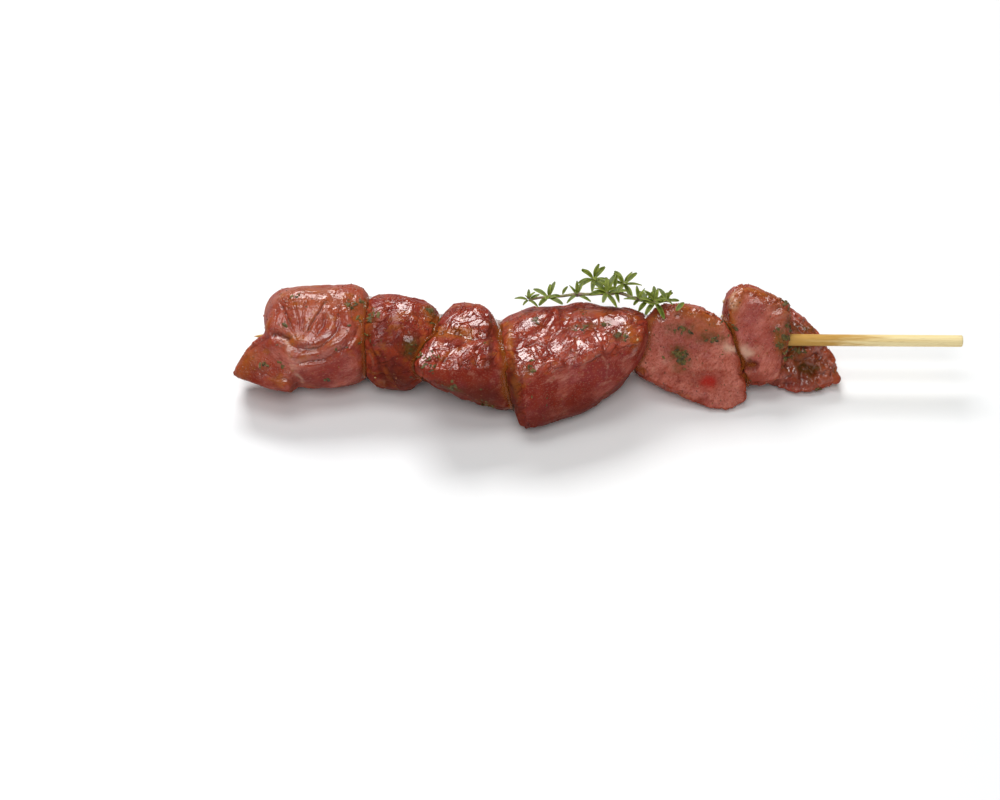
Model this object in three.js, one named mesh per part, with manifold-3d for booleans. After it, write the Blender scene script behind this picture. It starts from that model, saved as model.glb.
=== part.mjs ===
// A raw pork souvlaki skewer: six pieces of marinated pork threaded on a bamboo stick, with a sprig of
// thyme on top. It lies on a table as it would on a plate, with the point of the stick towards -X.
// Millimetres, +Z up, the table at z = 0, the origin under the middle of the whole.
import * as THREE from "three";
import { mergeVertices } from "three/addons/utils/BufferGeometryUtils.js";
import Module from "manifold-3d";

const wasm = await Module();
wasm.setup();

// ---- Driving dimensions ---------------------------------------------------------------------------------

const STICK_LENGTH = 180;
const STICK_RADIUS = 1.5;
const POINT_LENGTH = 9; // the sharpened end
const STICK_HEIGHT = 13; // from the table to the stick's axis
const GAP = 0.3; // left between pieces that touch

// Places along the stick are measured from its point, heights from its axis, and y away from the front.

// ---- Solids and meshes ----------------------------------------------------------------------------------

function solidFrom(geometry) {
  const bare = geometry.clone();
  bare.deleteAttribute("normal");
  bare.deleteAttribute("uv");
  const merged = mergeVertices(bare, 1e-4);
  return new wasm.Manifold(
    new wasm.Mesh({
      numProp: 3,
      vertProperties: merged.attributes.position.array,
      triVerts: new Uint32Array(merged.index.array),
    }),
  );
}

function meshFrom(solid, name, material) {
  const { vertProperties, triVerts } = solid.getMesh();
  const geometry = new THREE.BufferGeometry()
    .setAttribute("position", new THREE.BufferAttribute(vertProperties, 3))
    .setIndex(new THREE.BufferAttribute(triVerts, 1));
  geometry.computeVertexNormals();
  const mesh = new THREE.Mesh(geometry, material);
  mesh.name = name;
  return mesh;
}

// ---- The shape of a piece of meat -----------------------------------------------------------------------

// A body of meat is the space inside its cut faces, with the edges between them rounded off. Each face is
// [x, y, z, reach]: the way it looks and how far it is from the body's middle. The higher the rounding's
// power, the sharper the edges.
function reachOf(direction, faces, rounding, swell) {
  let sum = 0;
  for (const [x, y, z, reach] of faces) {
    const facing = direction.dot(new THREE.Vector3(x, y, z).normalize()) / (reach + swell);
    if (facing > 0) sum += facing ** rounding;
  }
  return sum ** (-1 / rounding);
}

// Slow hills and dips, so that no face is quite flat.
function unevenness(p, seed) {
  return (
    Math.sin(0.31 * p.x + 0.17 * p.z + seed) * Math.cos(0.27 * p.y - 0.22 * p.z + 2 * seed) +
    0.5 * Math.sin(0.55 * p.x - 0.48 * p.y + 0.4 * p.z + 3 * seed)
  );
}

function body({ middle, faces, detail, rounding, furrows = [], uneven = 0.35, seed }, swell) {
  const ball = new THREE.IcosahedronGeometry(1, detail);
  const position = ball.getAttribute("position");
  const centre = new THREE.Vector3(...middle);
  const p = new THREE.Vector3();
  for (let i = 0; i < position.count; i++) {
    const direction = new THREE.Vector3().fromBufferAttribute(position, i).normalize();
    p.copy(direction).multiplyScalar(reachOf(direction, faces, rounding, swell));
    const depth = furrows.reduce((sum, furrow) => sum + furrowDepth(p, furrow), 0);
    p.addScaledVector(direction, uneven * unevenness(p, seed) - depth).add(centre);
    position.setXYZ(i, p.x, p.y, p.z);
  }
  return solidFrom(ball);
}

// A furrow is a soft valley where the body's skin meets a ball of `radius` round `at`, on the side that
// looks the way of `on`. A negative depth makes a ridge.
function furrowDepth(p, { at, radius, on, width, depth }) {
  const away = (p.distanceTo(new THREE.Vector3(...at)) - radius) / width;
  const side = p.clone().normalize().dot(new THREE.Vector3(...on).normalize());
  return side > 0 ? depth * Math.exp(-away * away) * Math.sqrt(side) : 0;
}

// ---- The six pieces -------------------------------------------------------------------------------------

const PIECES = [
  {
    name: "pork_piece_1",
    under: [],
    bodies: [
      {
        middle: [17, -1, 0],
        detail: 6,
        rounding: 5.5,
        seed: 1,
        faces: [
          [-0.92, 0.28, 0.25, 16.2],
          [0, 0.74, 0.67, 14.6],
          [0.1, -0.74, -0.67, 12.7],
          [-0.87, -0.36, -0.33, 12],
          [1, 0, 0, 13],
          [0, -0.35, 1, 11.5],
          [0.1, -1, 0.3, 12.5],
          [0, 0, -1, 14],
          [0, 1, -0.3, 12],
        ],
        furrows: [
          { at: [-1, 0, 9], radius: 11.4, on: [0.4, -0.5, 1], width: 1.3, depth: 1 },
          { at: [-2, 1, 9], radius: 7.4, on: [0.3, -0.3, 1], width: 1.2, depth: 0.7 },
        ],
      },
      {
        middle: [4, -8, -3],
        detail: 4,
        rounding: 12,
        seed: 2,
        uneven: 0.2,
        faces: [
          [-0.89, 0.34, 0.31, 6.9],
          [-0.54, 0.63, 0.56, 7.4],
          [-0.32, -0.71, -0.64, 5],
          [-0.1, -0.74, -0.67, 5.9],
          [1, -0.2, -0.2, 8],
          [0.4, 0.65, 0.6, 8],
          [-0.2, -0.67, 0.74, 6.4],
          [0, 0.67, -0.74, 9],
        ],
      },
    ],
  },
  {
    name: "pork_piece_2",
    under: ["pork_piece_1", "pork_piece_3"],
    bodies: [
      {
        middle: [38, -1, -1],
        detail: 5,
        rounding: 6,
        seed: 3,
        faces: [
          [-1, 0, 0, 10.6],
          [-0.28, 0.71, 0.64, 14],
          [0.2, 0.73, 0.65, 14.3],
          [0.57, 0.61, 0.55, 13.4],
          [0.98, 0, 0, 9.6],
          [0.8, -0.44, -0.4, 10.4],
          [0.3, -0.7, -0.63, 13.6],
          [-0.5, -0.64, -0.58, 13.2],
          [0.1, -0.3, 1, 12],
          [0, -1, 0.3, 12],
          [0, 0, -1, 13.4],
          [0, 1, -0.2, 12],
        ],
        furrows: [{ at: [26, -8, 2], radius: 30, on: [-0.8, -0.6, 0.2], width: 1.6, depth: 1.2 }],
      },
    ],
  },
  {
    name: "pork_piece_3",
    under: [],
    bodies: [
      {
        middle: [54.5, -6.2, -0.6],
        detail: 6,
        rounding: 11,
        seed: 4,
        faces: [
          [-0.88, 0.35, 0.31, 10.6],
          [-0.1, 0.74, 0.67, 13.9],
          [0.6, 0.6, 0.53, 13.6],
          [1, 0, 0, 13],
          [0.97, 0.19, 0.17, 9.7],
          [-0.3, -0.71, -0.64, 10.4],
          [-0.55, -0.62, -0.56, 10.6],
          [0, 0, 1, 11],
          [0.15, -0.98, 0.12, 14.6],
          [0.6, -0.5, -0.6, 19],
          [0, 0, -1, 13],
          [0, 1, -0.3, 13],
        ],
        furrows: [{ at: [2, 26, 11], radius: 28.6, on: [-0.3, 0, 1], width: 1.7, depth: 1.1 }],
      },
    ],
  },
  {
    name: "pork_piece_4",
    under: ["pork_piece_3", "pork_piece_5"],
    bodies: [
      {
        middle: [80, -6.5, -1.8],
        detail: 6,
        rounding: 9,
        seed: 5,
        uneven: 0.45,
        faces: [
          [-0.42, 0.67, 0.61, 17.3],
          [0, 0.75, 0.66, 15.4],
          [0.28, 0.71, 0.64, 18.2],
          [0.95, -0.24, -0.21, 17],
          [0.71, -0.53, -0.47, 14.6],
          [0.42, -0.68, -0.61, 13.2],
          [0.1, -0.74, -0.67, 17.8],
          [-0.97, -0.2, -0.17, 16.2],
          [0, 0, 1, 12],
          [0.35, -0.93, 0.2, 13],
          [0, 0, -1, 12],
          [0, 1, -0.4, 13],
        ],
        furrows: [{ at: [-38, 10, 20], radius: 38, on: [0, -0.2, 1], width: 1.8, depth: 0.9 }],
      },
    ],
  },
  {
    name: "pork_piece_5",
    under: [],
    bodies: [
      {
        middle: [111, -2, -0.8],
        detail: 5,
        rounding: 12,
        seed: 6,
        uneven: 0.25,
        faces: [
          [-0.99, 0.1, 0.09, 14],
          [-0.76, 0.48, 0.43, 14],
          [-0.36, 0.69, 0.62, 12.8],
          [0.33, 0.7, 0.63, 10],
          [0.67, 0.55, 0.49, 11.4],
          [0.94, 0.25, 0.22, 10.6],
          [0.76, -0.48, -0.43, 20.5],
          [0.05, -0.74, -0.67, 18],
          [-0.45, -0.66, -0.59, 12.2],
          [0, 0.1, 1, 13],
          [0, -0.85, 0.53, 5],
          [0, 0, -1, 12.4],
          [0, 1, -0.3, 10],
        ],
      },
    ],
  },
  {
    name: "pork_piece_6",
    under: ["pork_piece_5"],
    bodies: [
      {
        middle: [129, 1.5, 1.3],
        detail: 5,
        rounding: 11,
        seed: 7,
        faces: [
          [-1, 0, 0, 9.4],
          [-0.65, 0.57, 0.51, 13.5],
          [0.37, 0.69, 0.62, 9.9],
          [0.72, 0.52, 0.47, 10.3],
          [0.98, -0.1, -0.05, 6.6],
          [0.6, -0.59, -0.54, 12.2],
          [-0.3, -0.7, -0.63, 14],
          [0.1, 0.1, 1, 11.5],
          [0, -0.82, 0.57, 5.6],
          [0, 0, -1, 11.5],
          [0, 1, -0.3, 10],
        ],
      },
      {
        middle: [140.5, 1.8, -6.5],
        detail: 4,
        rounding: 8,
        seed: 8,
        faces: [
          [0.33, 0.7, 0.63, 10.4],
          [0.88, 0.35, 0.32, 6.3],
          [0.75, 0.5, 0.45, 6.6],
          [0.94, -0.25, -0.22, 12.2],
          [0.38, -0.69, -0.62, 11],
          [-0.43, -0.67, -0.6, 11.2],
          [-1, 0, 0, 12],
          [0, -0.67, 0.74, 3.6],
          [0, 0.67, -0.74, 6],
          [0, 0, -1, 6.9],
        ],
        furrows: [{ at: [-4, -22, 20], radius: 30, on: [0, -0.5, 1], width: 1.5, depth: 0.9 }],
      },
    ],
  },
];

// ---- The thyme sprig ------------------------------------------------------------------------------------

const STEM_RADIUS = 0.5;
const NODE_RADIUS = 0.9; // the swelling of the stem where leaves grow
const LEAF_WIDTH = 1.5;
const LEAF_THICKNESS = 0.7;

// Each whorl is a ring of leaves round the stem. The main stem lies over the fourth and fifth pieces, and
// a thinner branch runs back along the fourth.
const WHORLS = [
  { at: [86.3, 9.8, 11.5], leaves: 6, length: 5.4, turn: 0.3 },
  { at: [89.5, 4.8, 11.5], leaves: 6, length: 5.2, turn: 0.9 },
  { at: [93.9, 7.6, 12], leaves: 5, length: 5, turn: 0.1 },
  { at: [97.4, 2.4, 11.6], leaves: 4, length: 3.6, turn: 0.6 },
  { at: [101.5, 1.6, 11.6], leaves: 6, length: 5.4, turn: 0.5 },
  { at: [82, 4.4, 11.2], leaves: 3, length: 3.4, turn: 0.9 },
  { at: [74.8, 4, 10.7], leaves: 3, length: 4.2, turn: 1.1 },
  { at: [69.8, 3.6, 10.1], leaves: 4, length: 2.8, turn: 0.4 },
];
const STEMS = [
  [WHORLS[0].at, WHORLS[1].at],
  [WHORLS[1].at, [92.2, 5.2, 11.8]],
  [[92.2, 5.2, 11.8], WHORLS[2].at],
  [[92.2, 5.2, 11.8], WHORLS[3].at],
  [WHORLS[3].at, WHORLS[4].at],
  [WHORLS[4].at, [105, 1.1, 12.7]],
  [WHORLS[1].at, WHORLS[5].at],
  [WHORLS[5].at, WHORLS[6].at],
  [WHORLS[6].at, WHORLS[7].at],
];

// A shape made along its own X axis, laid from one point towards another with its flat side up.
function laid(geometry, from, towards) {
  const along = towards.clone().sub(from).normalize();
  const across = new THREE.Vector3(0, 0, 1).cross(along).normalize();
  const up = along.clone().cross(across);
  const turn = new THREE.Matrix4().makeBasis(along, across, up).setPosition(from);
  return solidFrom(geometry.applyMatrix4(turn));
}

function stemPiece([from, to]) {
  const start = new THREE.Vector3(...from);
  const end = new THREE.Vector3(...to);
  const length = start.distanceTo(end) + STEM_RADIUS;
  const bar = new THREE.CylinderGeometry(STEM_RADIUS * 0.9, STEM_RADIUS, length, 4)
    .rotateZ(-Math.PI / 2)
    .translate(length / 2 - STEM_RADIUS / 2, 0, 0);
  return laid(bar, start, end);
}

// Leaves that point back stand up, and those that point forwards droop over the meat.
function leaf({ at, leaves, length, turn }, i) {
  const angle = turn + (i * 2 * Math.PI) / leaves;
  const rise = 0.2 + 0.35 * Math.sin(angle) + 0.15 * Math.sin(5 * i);
  const from = new THREE.Vector3(...at);
  const towards = new THREE.Vector3(Math.cos(angle), Math.sin(angle), rise).add(from);
  const blade = new THREE.SphereGeometry(1, 4, 3)
    .rotateZ(-Math.PI / 2)
    .scale(length / 2, LEAF_WIDTH / 2, LEAF_THICKNESS / 2)
    .translate(length / 2 + NODE_RADIUS / 2, 0, 0);
  return laid(blade, from, towards);
}

function sprig() {
  const stems = STEMS.map(stemPiece);
  const nodes = WHORLS.map(({ at }) => solidFrom(new THREE.OctahedronGeometry(NODE_RADIUS).translate(...at)));
  const leaves = WHORLS.flatMap((whorl) => Array.from({ length: whorl.leaves }, (_, i) => leaf(whorl, i)));
  return [...stems, ...nodes, ...leaves].reduce((whole, next) => whole.add(next));
}

// ---- The stick and the room it needs --------------------------------------------------------------------

function stick() {
  const blunting = 0.3; // the worn rim of the square-cut end
  const profile = [
    [0, 0],
    [STICK_RADIUS * 0.35, POINT_LENGTH * 0.25],
    [STICK_RADIUS, POINT_LENGTH],
    [STICK_RADIUS, STICK_LENGTH - blunting],
    [STICK_RADIUS - blunting, STICK_LENGTH],
    [0, STICK_LENGTH],
  ].map(([radius, place]) => new THREE.Vector2(radius, place));
  return solidFrom(new THREE.LatheGeometry(profile, 24).rotateZ(-Math.PI / 2));
}

function stickRoom() {
  const radius = STICK_RADIUS + GAP;
  const bore = new THREE.CylinderGeometry(radius, radius, 2 * STICK_LENGTH, 12).rotateZ(-Math.PI / 2);
  return solidFrom(bore.translate(STICK_LENGTH / 2, 0, 0));
}

function belowTable() {
  const depth = 100;
  const slab = new THREE.BoxGeometry(2 * STICK_LENGTH, STICK_LENGTH, depth);
  return solidFrom(slab.translate(STICK_LENGTH / 2, 0, -STICK_HEIGHT - depth / 2));
}

// ---- Building -------------------------------------------------------------------------------------------

// The bodies of a piece as one solid, grown by `swell` on every side.
function grown(piece, swell = 0) {
  return piece.bodies.map((each) => body(each, swell)).reduce((whole, next) => whole.add(next));
}

// A piece lies flat on the table, makes way for the stick and is pressed in by the neighbours over it.
function porkPiece(piece) {
  const neighbours = PIECES.filter(({ name }) => piece.under.includes(name));
  return neighbours.reduce(
    (solid, neighbour) => solid.subtract(grown(neighbour, GAP)),
    grown(piece).subtract(belowTable()).subtract(stickRoom()),
  );
}

const meat = new THREE.MeshStandardMaterial({ color: 0x8f3a34, roughness: 0.35, metalness: 0 });
const thyme = new THREE.MeshStandardMaterial({ color: 0x6f8a45, roughness: 0.6, metalness: 0 });
const bamboo = new THREE.MeshStandardMaterial({ color: 0xdcc389, roughness: 0.6, metalness: 0 });

const skewer = new THREE.Group();
skewer.add(meshFrom(stick(), "bamboo_stick", bamboo));
for (const piece of PIECES) skewer.add(meshFrom(porkPiece(piece), piece.name, meat));
skewer.add(meshFrom(sprig(), "thyme_sprig", thyme));

const middle = new THREE.Box3().setFromObject(skewer).getCenter(new THREE.Vector3());
skewer.position.set(-middle.x, -middle.y, STICK_HEIGHT);

const group = new THREE.Group();
group.add(skewer);
export default group;
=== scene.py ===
# %% [markdown]
# # A raw pork souvlaki skewer
# Six chunks of pork in an oily marinade of paprika and herbs, on a round bamboo stick, with a sprig of
# thyme on top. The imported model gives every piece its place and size. This lesson gives them their skin:
# muscle fibres, folds, oil, herbs and grain. It starts by loading that model.

# %% Load the frame
import math
import random

import bmesh
import bpy
import numpy as np
from mathutils import Matrix, Vector, bvhtree, noise


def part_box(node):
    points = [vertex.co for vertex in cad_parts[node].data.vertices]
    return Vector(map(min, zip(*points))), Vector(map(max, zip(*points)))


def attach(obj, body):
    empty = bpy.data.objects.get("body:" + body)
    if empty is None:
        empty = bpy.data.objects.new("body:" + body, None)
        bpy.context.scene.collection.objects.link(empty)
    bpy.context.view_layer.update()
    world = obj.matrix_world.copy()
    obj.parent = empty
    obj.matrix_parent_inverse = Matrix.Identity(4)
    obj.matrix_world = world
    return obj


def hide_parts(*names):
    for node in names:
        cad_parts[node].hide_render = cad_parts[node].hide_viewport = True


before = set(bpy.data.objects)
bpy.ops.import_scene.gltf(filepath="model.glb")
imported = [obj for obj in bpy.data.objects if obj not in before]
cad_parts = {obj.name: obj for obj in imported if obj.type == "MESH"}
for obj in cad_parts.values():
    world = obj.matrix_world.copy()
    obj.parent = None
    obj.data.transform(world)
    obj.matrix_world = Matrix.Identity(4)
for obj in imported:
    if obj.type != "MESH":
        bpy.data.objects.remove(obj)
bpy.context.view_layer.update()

MM = 0.001
noise.seed_set(11)  # without it, noise vectors differ from run to run
print("loaded", sorted(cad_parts))

# %% [markdown]
# Everything hangs on the stick, so places are measured from it: x in millimetres from its point, y to the
# back and z up from its axis. One small function turns such a place into the frame's metres, which keeps
# every later number readable on the real skewer.

# %% Places along the stick
stick_low, stick_high = (Vector(corner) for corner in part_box("bamboo_stick"))
TIP = Vector((stick_low.x, (stick_low.y + stick_high.y) / 2, (stick_low.z + stick_high.z) / 2))
STICK_LENGTH = (stick_high.x - stick_low.x) / MM
STICK_RADIUS = (stick_high.z - stick_low.z) / 2 / MM
TABLE = -TIP.z / MM


def place(x, y, z):
    return TIP + Vector((x, y, z)) * MM


print("the stick is", round(STICK_LENGTH), "mm long; its point is at", TIP)

# %% [markdown]
# The view looks down at the skewer from the front, as one looks at a plate. A long lens from half a metre
# keeps the chunks free of distortion. The camera stands a hair to the right, so the stick's blunt end comes
# slightly nearer.

# %% Camera
VIEW_DISTANCE = 500
ELEVATION = math.radians(48)
AZIMUTH = math.radians(0.54)
AIM = place(62.8, -11.7, -10.6)
LENS = 70.8
SENSOR_WIDTH = 36


def new_object(name, data):
    made = bpy.data.objects.new(name, data)
    bpy.context.scene.collection.objects.link(made)
    return made


towards_camera = Vector((
    math.sin(AZIMUTH) * math.cos(ELEVATION),
    -math.cos(AZIMUTH) * math.cos(ELEVATION),
    math.sin(ELEVATION),
))
camera = new_object("camera", bpy.data.cameras.new("camera"))
camera.data.lens = LENS
camera.data.sensor_width = SENSOR_WIDTH
camera.data.clip_start = 0.01
camera.location = AIM + towards_camera * VIEW_DISTANCE * MM
camera.rotation_euler = towards_camera.to_track_quat("Z", "Y").to_euler()
bpy.context.scene.camera = camera
print("camera at", camera.location)

# %% [markdown]
# Wet meat is seen by what it mirrors. A big soft window behind and above the skewer, a little to the left,
# lays a pale broken sheen on every face that looks up. A weaker panel overhead carries that sheen over the
# rounded tops, and one high in front keeps the forward faces from going dark. A faint grey-white
# surrounding fills the shadows.

# %% Lights and surroundings
LIT_PLACE = place(90, 0, 0)
LIGHT_DISTANCE = 900
ROOM_COLOUR = (0.92, 1, 0.99, 1)
ROOM_STRENGTH = 0.14


def soft_light(name, from_direction, size, power):
    light = bpy.data.lights.new(name, "AREA")
    light.shape = "RECTANGLE"
    light.size, light.size_y = (side * MM for side in size)
    light.energy = power
    direction = Vector(from_direction).normalized()
    lamp = new_object(name, light)
    lamp.location = LIT_PLACE + direction * LIGHT_DISTANCE * MM
    lamp.rotation_euler = direction.to_track_quat("Z", "Y").to_euler()
    print(name, "at", lamp.location)


soft_light("window", (-0.18, 0.62, 0.76), (520, 330), 5.4)
soft_light("overhead", (-0.2, 0.0, 0.97), (340, 520), 2.3)
soft_light("front_sky", (-0.05, -0.56, 0.83), (440, 420), 3.2)
room = bpy.data.worlds.new("pale_room")
room.use_nodes = True
surroundings = room.node_tree.nodes["Background"].inputs
surroundings["Color"].default_value = ROOM_COLOUR
surroundings["Strength"].default_value = ROOM_STRENGTH
bpy.context.scene.world = room
bpy.context.scene.view_settings.view_transform = "Standard"

# %% [markdown]
# Materials are built from nodes. `Nodes` holds a node tree and a short way to add each kind of node that is
# needed: textures, sums, and a soft share from 0 to 1.

# %% Node helpers
class Nodes:
    """A node tree and short ways to add nodes to it."""

    def __init__(self, tree):
        self.tree = tree

    def connect(self, socket, value):
        """Links or sets an input. A name stands for the measure stored under it on the piece's points."""
        if isinstance(value, str):
            value = self.attribute(value)
        if isinstance(value, bpy.types.NodeSocket):
            self.tree.links.new(value, socket)
        else:
            socket.default_value = value

    def add(self, kind, inputs=(), **settings):
        made = self.tree.nodes.new(kind)
        for name, value in settings.items():
            setattr(made, name, value)
        for name, value in dict(inputs).items():
            self.connect(made.inputs[name], value)
        return made

    def mix(self, share, first, second):
        # sockets 6 and 7 of a Mix node are its two colours, and output 2 is the mixed one
        return self.add("ShaderNodeMix", {0: share, 6: first, 7: second}, data_type="RGBA").outputs[2]

    def sums(self, operation, first, second=0.0, clamp=False):
        made = self.add("ShaderNodeMath", {0: first, 1: second}, operation=operation, use_clamp=clamp)
        return made.outputs[0]

    def times(self, share, *values):
        for value in values:
            share = self.sums("MULTIPLY", share, value)
        return share

    def between(self, value, low, high, to_low=0.0, to_high=1.0):
        limits = {"Value": value, "From Min": low, "From Max": high, "To Min": to_low, "To Max": to_high}
        return self.add("ShaderNodeMapRange", limits, interpolation_type="SMOOTHSTEP").outputs["Result"]

    def cloud(self, vector, scale, detail, roughness=0.55, output="Fac"):
        inputs = {"Vector": vector, "Scale": scale, "Detail": detail, "Roughness": roughness}
        return self.add("ShaderNodeTexNoise", inputs).outputs[output]

    def voronoi(self, vector, scale, feature="F1", output="Distance"):
        inputs = {"Vector": vector, "Scale": scale}
        return self.add("ShaderNodeTexVoronoi", inputs, feature=feature).outputs[output]

    def attribute(self, name, output="Fac"):
        return self.add("ShaderNodeAttribute", attribute_name=name).outputs[output]

    def stretched(self, vector, scale):
        return self.add("ShaderNodeMapping", {"Vector": vector, "Scale": scale}).outputs["Vector"]

    def bump(self, height, depth):
        return self.add("ShaderNodeBump", {"Height": height, "Distance": depth * MM}).outputs["Normal"]


print("node helpers ready")

# %% [markdown]
# `Finish` is a material in the making. It keeps the colour so far, so that each stain, fibre or shade is
# laid over the last one like paint, and at the end it hands everything to the Principled shader.

# %% A finish in the making
class Finish(Nodes):
    """A material in the making: its shader, the place in millimetres, and the colour laid on so far."""

    def __init__(self, name):
        self.material = bpy.data.materials.new(name)
        self.material.use_nodes = True
        super().__init__(self.material.node_tree)
        self.tree.nodes.clear()
        self.shader = self.add("ShaderNodeBsdfPrincipled")
        self.add("ShaderNodeOutputMaterial", {"Surface": self.shader.outputs["BSDF"]})
        self.at = self.stretched(self.add("ShaderNodeTexCoord").outputs["Object"], (1 / MM,) * 3)

    def effect(self, group, **inputs):
        """The share that a shared effect puts out, here or where its Vector says."""
        return self.add("ShaderNodeGroup", {"Vector": self.at, **inputs}, node_tree=group).outputs["Share"]

    def start(self, share, first, second):
        self.colour = self.mix(share, first, second)

    def lay(self, tone, *shares):
        """Lays a tone over the colour so far, as strongly as all the shares together say."""
        self.colour = self.mix(self.times(*shares), self.colour, tone)

    def settle(self, **inputs):
        """Gives the shader the colour so far and its other values: Coat_Weight is its input Coat Weight."""
        for name, value in {"Base_Color": self.colour, **inputs}.items():
            self.connect(self.shader.inputs[name.replace("_", " ")], value)
        print(self.material.name, "has", len(self.tree.nodes), "nodes")


print("finishes can be made")

# %% [markdown]
# The table is white and slightly rough, like a glazed plate, so that it gives a soft pale ground and takes
# a faint shadow. It has a barely visible cloudiness instead of one flat tone.

# %% Floor
FLOOR_HALF = 3
TABLE_WHITES = (0.92, 0.92, 0.93, 1), (0.94, 0.94, 0.94, 1)
white_table = Finish("white_table")
white_table.start(white_table.between(white_table.cloud(white_table.at, 0.01, 2), 0.3, 0.7), *TABLE_WHITES)
white_table.settle(Roughness=0.6)
floor_mesh = bpy.data.meshes.new("floor")
corners = [(x * FLOOR_HALF, y * FLOOR_HALF, 0) for x, y in ((-1, -1), (1, -1), (1, 1), (-1, 1))]
floor_mesh.from_pydata(corners, [], [(0, 1, 2, 3)])
floor_mesh.materials.append(white_table.material)
floor = new_object("floor", floor_mesh)
print("floor laid")

# %% [markdown]
# Raw pork is a bundle of fibres, so almost everything on it follows them: shallow tears between bundles,
# fine striations, pale veins. Each chunk therefore gets its own fibre coordinates, one along the fibres and
# two across, bent by slow noise as real muscle is. A chunk whose muscle curls has them wound round an axis.

# %% Fibre coordinates
def sampled(function, points):
    return np.array([function(Vector(point)) for point in points.tolist()])


def bent(points, size, amount, shift=0.0):
    """The points moved by slow noise: whatever is worked out from them gets wavy."""
    return points + amount * sampled(noise.noise_vector, points / size + shift)


def fibre_coordinates(points, grain, curl=None):
    """Along, across and deep, in millimetres, for points in millimetres."""
    wavy = bent(points, 9, 1.6)
    if curl:
        offset = wavy - np.array(curl["centre"])
        axis = Vector(curl["axis"]).normalized()
        side = axis.orthogonal().normalized()
        u, v, deep = (offset @ np.array(way) for way in (side, axis.cross(side), axis))
        return np.stack([np.arctan2(v, u) * curl["radius"], np.hypot(u, v), deep], axis=1)
    along = Vector(grain).normalized()
    across = along.orthogonal().normalized()
    return wavy @ np.array([along, across, along.cross(across)]).T


print("fibre coordinates ready")

# %% [markdown]
# The skin itself is sculpted in mesh code. A copy of the CAD piece is remeshed finely, its facets are
# smoothed away, and then each point moves along its normal. Real geometry is used rather than bump alone,
# because the oil's highlights break on it. This helper does the remeshing and smoothing.

# %% Rebuild a mesh
def rebuilt(piece, voxel, smoothing, finer=0):
    """The piece made anew from voxels that size, smoothed so many times and divided finer."""
    remesh = piece.modifiers.new("remesh", "REMESH")
    remesh.mode = "VOXEL"
    remesh.voxel_size = voxel * MM
    piece.modifiers.new("smooth", "SMOOTH").iterations = smoothing
    if finer:
        piece.modifiers.new("fine", "SUBSURF").levels = finer
    shown = piece.evaluated_get(bpy.context.evaluated_depsgraph_get())
    old, piece.data = piece.data, bpy.data.meshes.new_from_object(shown)
    piece.modifiers.clear()
    bpy.data.meshes.remove(old)
    return piece


print("meshes can be rebuilt")

# %% [markdown]
# Numpy reads and writes a mesh's points all at once, which is far quicker than one by one. The points are
# turned into millimetres from the stick's point on the way in, and back on the way out.

# %% Read and write points
def rows(values, key):
    """A mesh's places or directions, three numbers to a row."""
    flat = np.empty(len(values) * 3, dtype=np.float32)
    values.foreach_get(key, flat)
    return flat.reshape(-1, 3).astype(float)


def normals_of(mesh):
    return rows(mesh.vertex_normals, "vector")


def from_tip(points):
    return (points - np.array(TIP)) / MM


def to_frame(points):
    return points * MM + np.array(TIP)


def points_of(mesh):
    """The mesh's points in millimetres from the stick's point."""
    return from_tip(rows(mesh.vertices, "co"))


def set_points(mesh, points):
    mesh.vertices.foreach_set("co", to_frame(points).astype(np.float32).ravel())
    mesh.update()


def store(mesh, measures):
    """Stores measures on the mesh's points, where a material can read them by name."""
    for name, values in measures.items():
        kind, key = ("FLOAT", "value") if values.ndim == 1 else ("FLOAT_VECTOR", "vector")
        mesh.attributes.new(name, kind, "POINT").data.foreach_set(key, values.astype(np.float32).ravel())


def shade_smooth(mesh):
    mesh.polygons.foreach_set("use_smooth", np.ones(len(mesh.polygons), dtype=bool))


def surface_of(mesh):
    return bvhtree.BVHTree.FromPolygons([v.co for v in mesh.vertices], [p.vertices for p in mesh.polygons])


PORK = [f"pork_piece_{number}" for number in range(1, 7)]
CAD_SURFACES = {node: surface_of(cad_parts[node].data) for node in PORK}
print("surfaces of", len(CAD_SURFACES), "chunks ready")

# %% [markdown]
# Three measures steer the sculpting. `step` is a soft switch. `convexity` tells edges from hollows: edges
# of torn meat are ragged, and hollows get painted shade. `stroked` is a brush: it says how near each point is
# to a line drawn on the chunk. Its places are given along the stick and in degrees round it, where 0 is on
# top, 90 in front and 180 underneath, or as x, y and z where the meat hangs well off the stick.

# %% Measures and brush strokes
FAR_OUT = 60  # millimetres from the stick, outside every chunk
NEAR_AXIS = 12


def step(values, low, high):
    share = np.clip((values - low) / (high - low), 0, 1)
    return share * share * (3 - 2 * share)


def convexity(mesh, points, normals, rounds):
    """The skin's bend in 1/mm, over 0 on edges and under 0 in hollows, averaged over a few neighbours."""
    ends = np.empty(len(mesh.edges) * 2, dtype=np.int32)
    mesh.edges.foreach_get("vertices", ends)
    first, second = ends.reshape(-1, 2).T
    run = points[second] - points[first]
    bend = ((normals[second] - normals[first]) * run).sum(1) / np.maximum((run * run).sum(1), 1e-6)
    total = len(points)
    count = np.maximum(np.bincount(first, minlength=total) + np.bincount(second, minlength=total), 1)
    value = (np.bincount(first, bend, total) + np.bincount(second, bend, total)) / count
    for _ in range(rounds):
        around = np.bincount(first, value[second], total) + np.bincount(second, value[first], total)
        value = 0.4 * value + 0.6 * around / count
    return value


def outward(turn):
    angle = math.radians(turn)
    return Vector((0, -math.sin(angle), math.cos(angle)))


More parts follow.
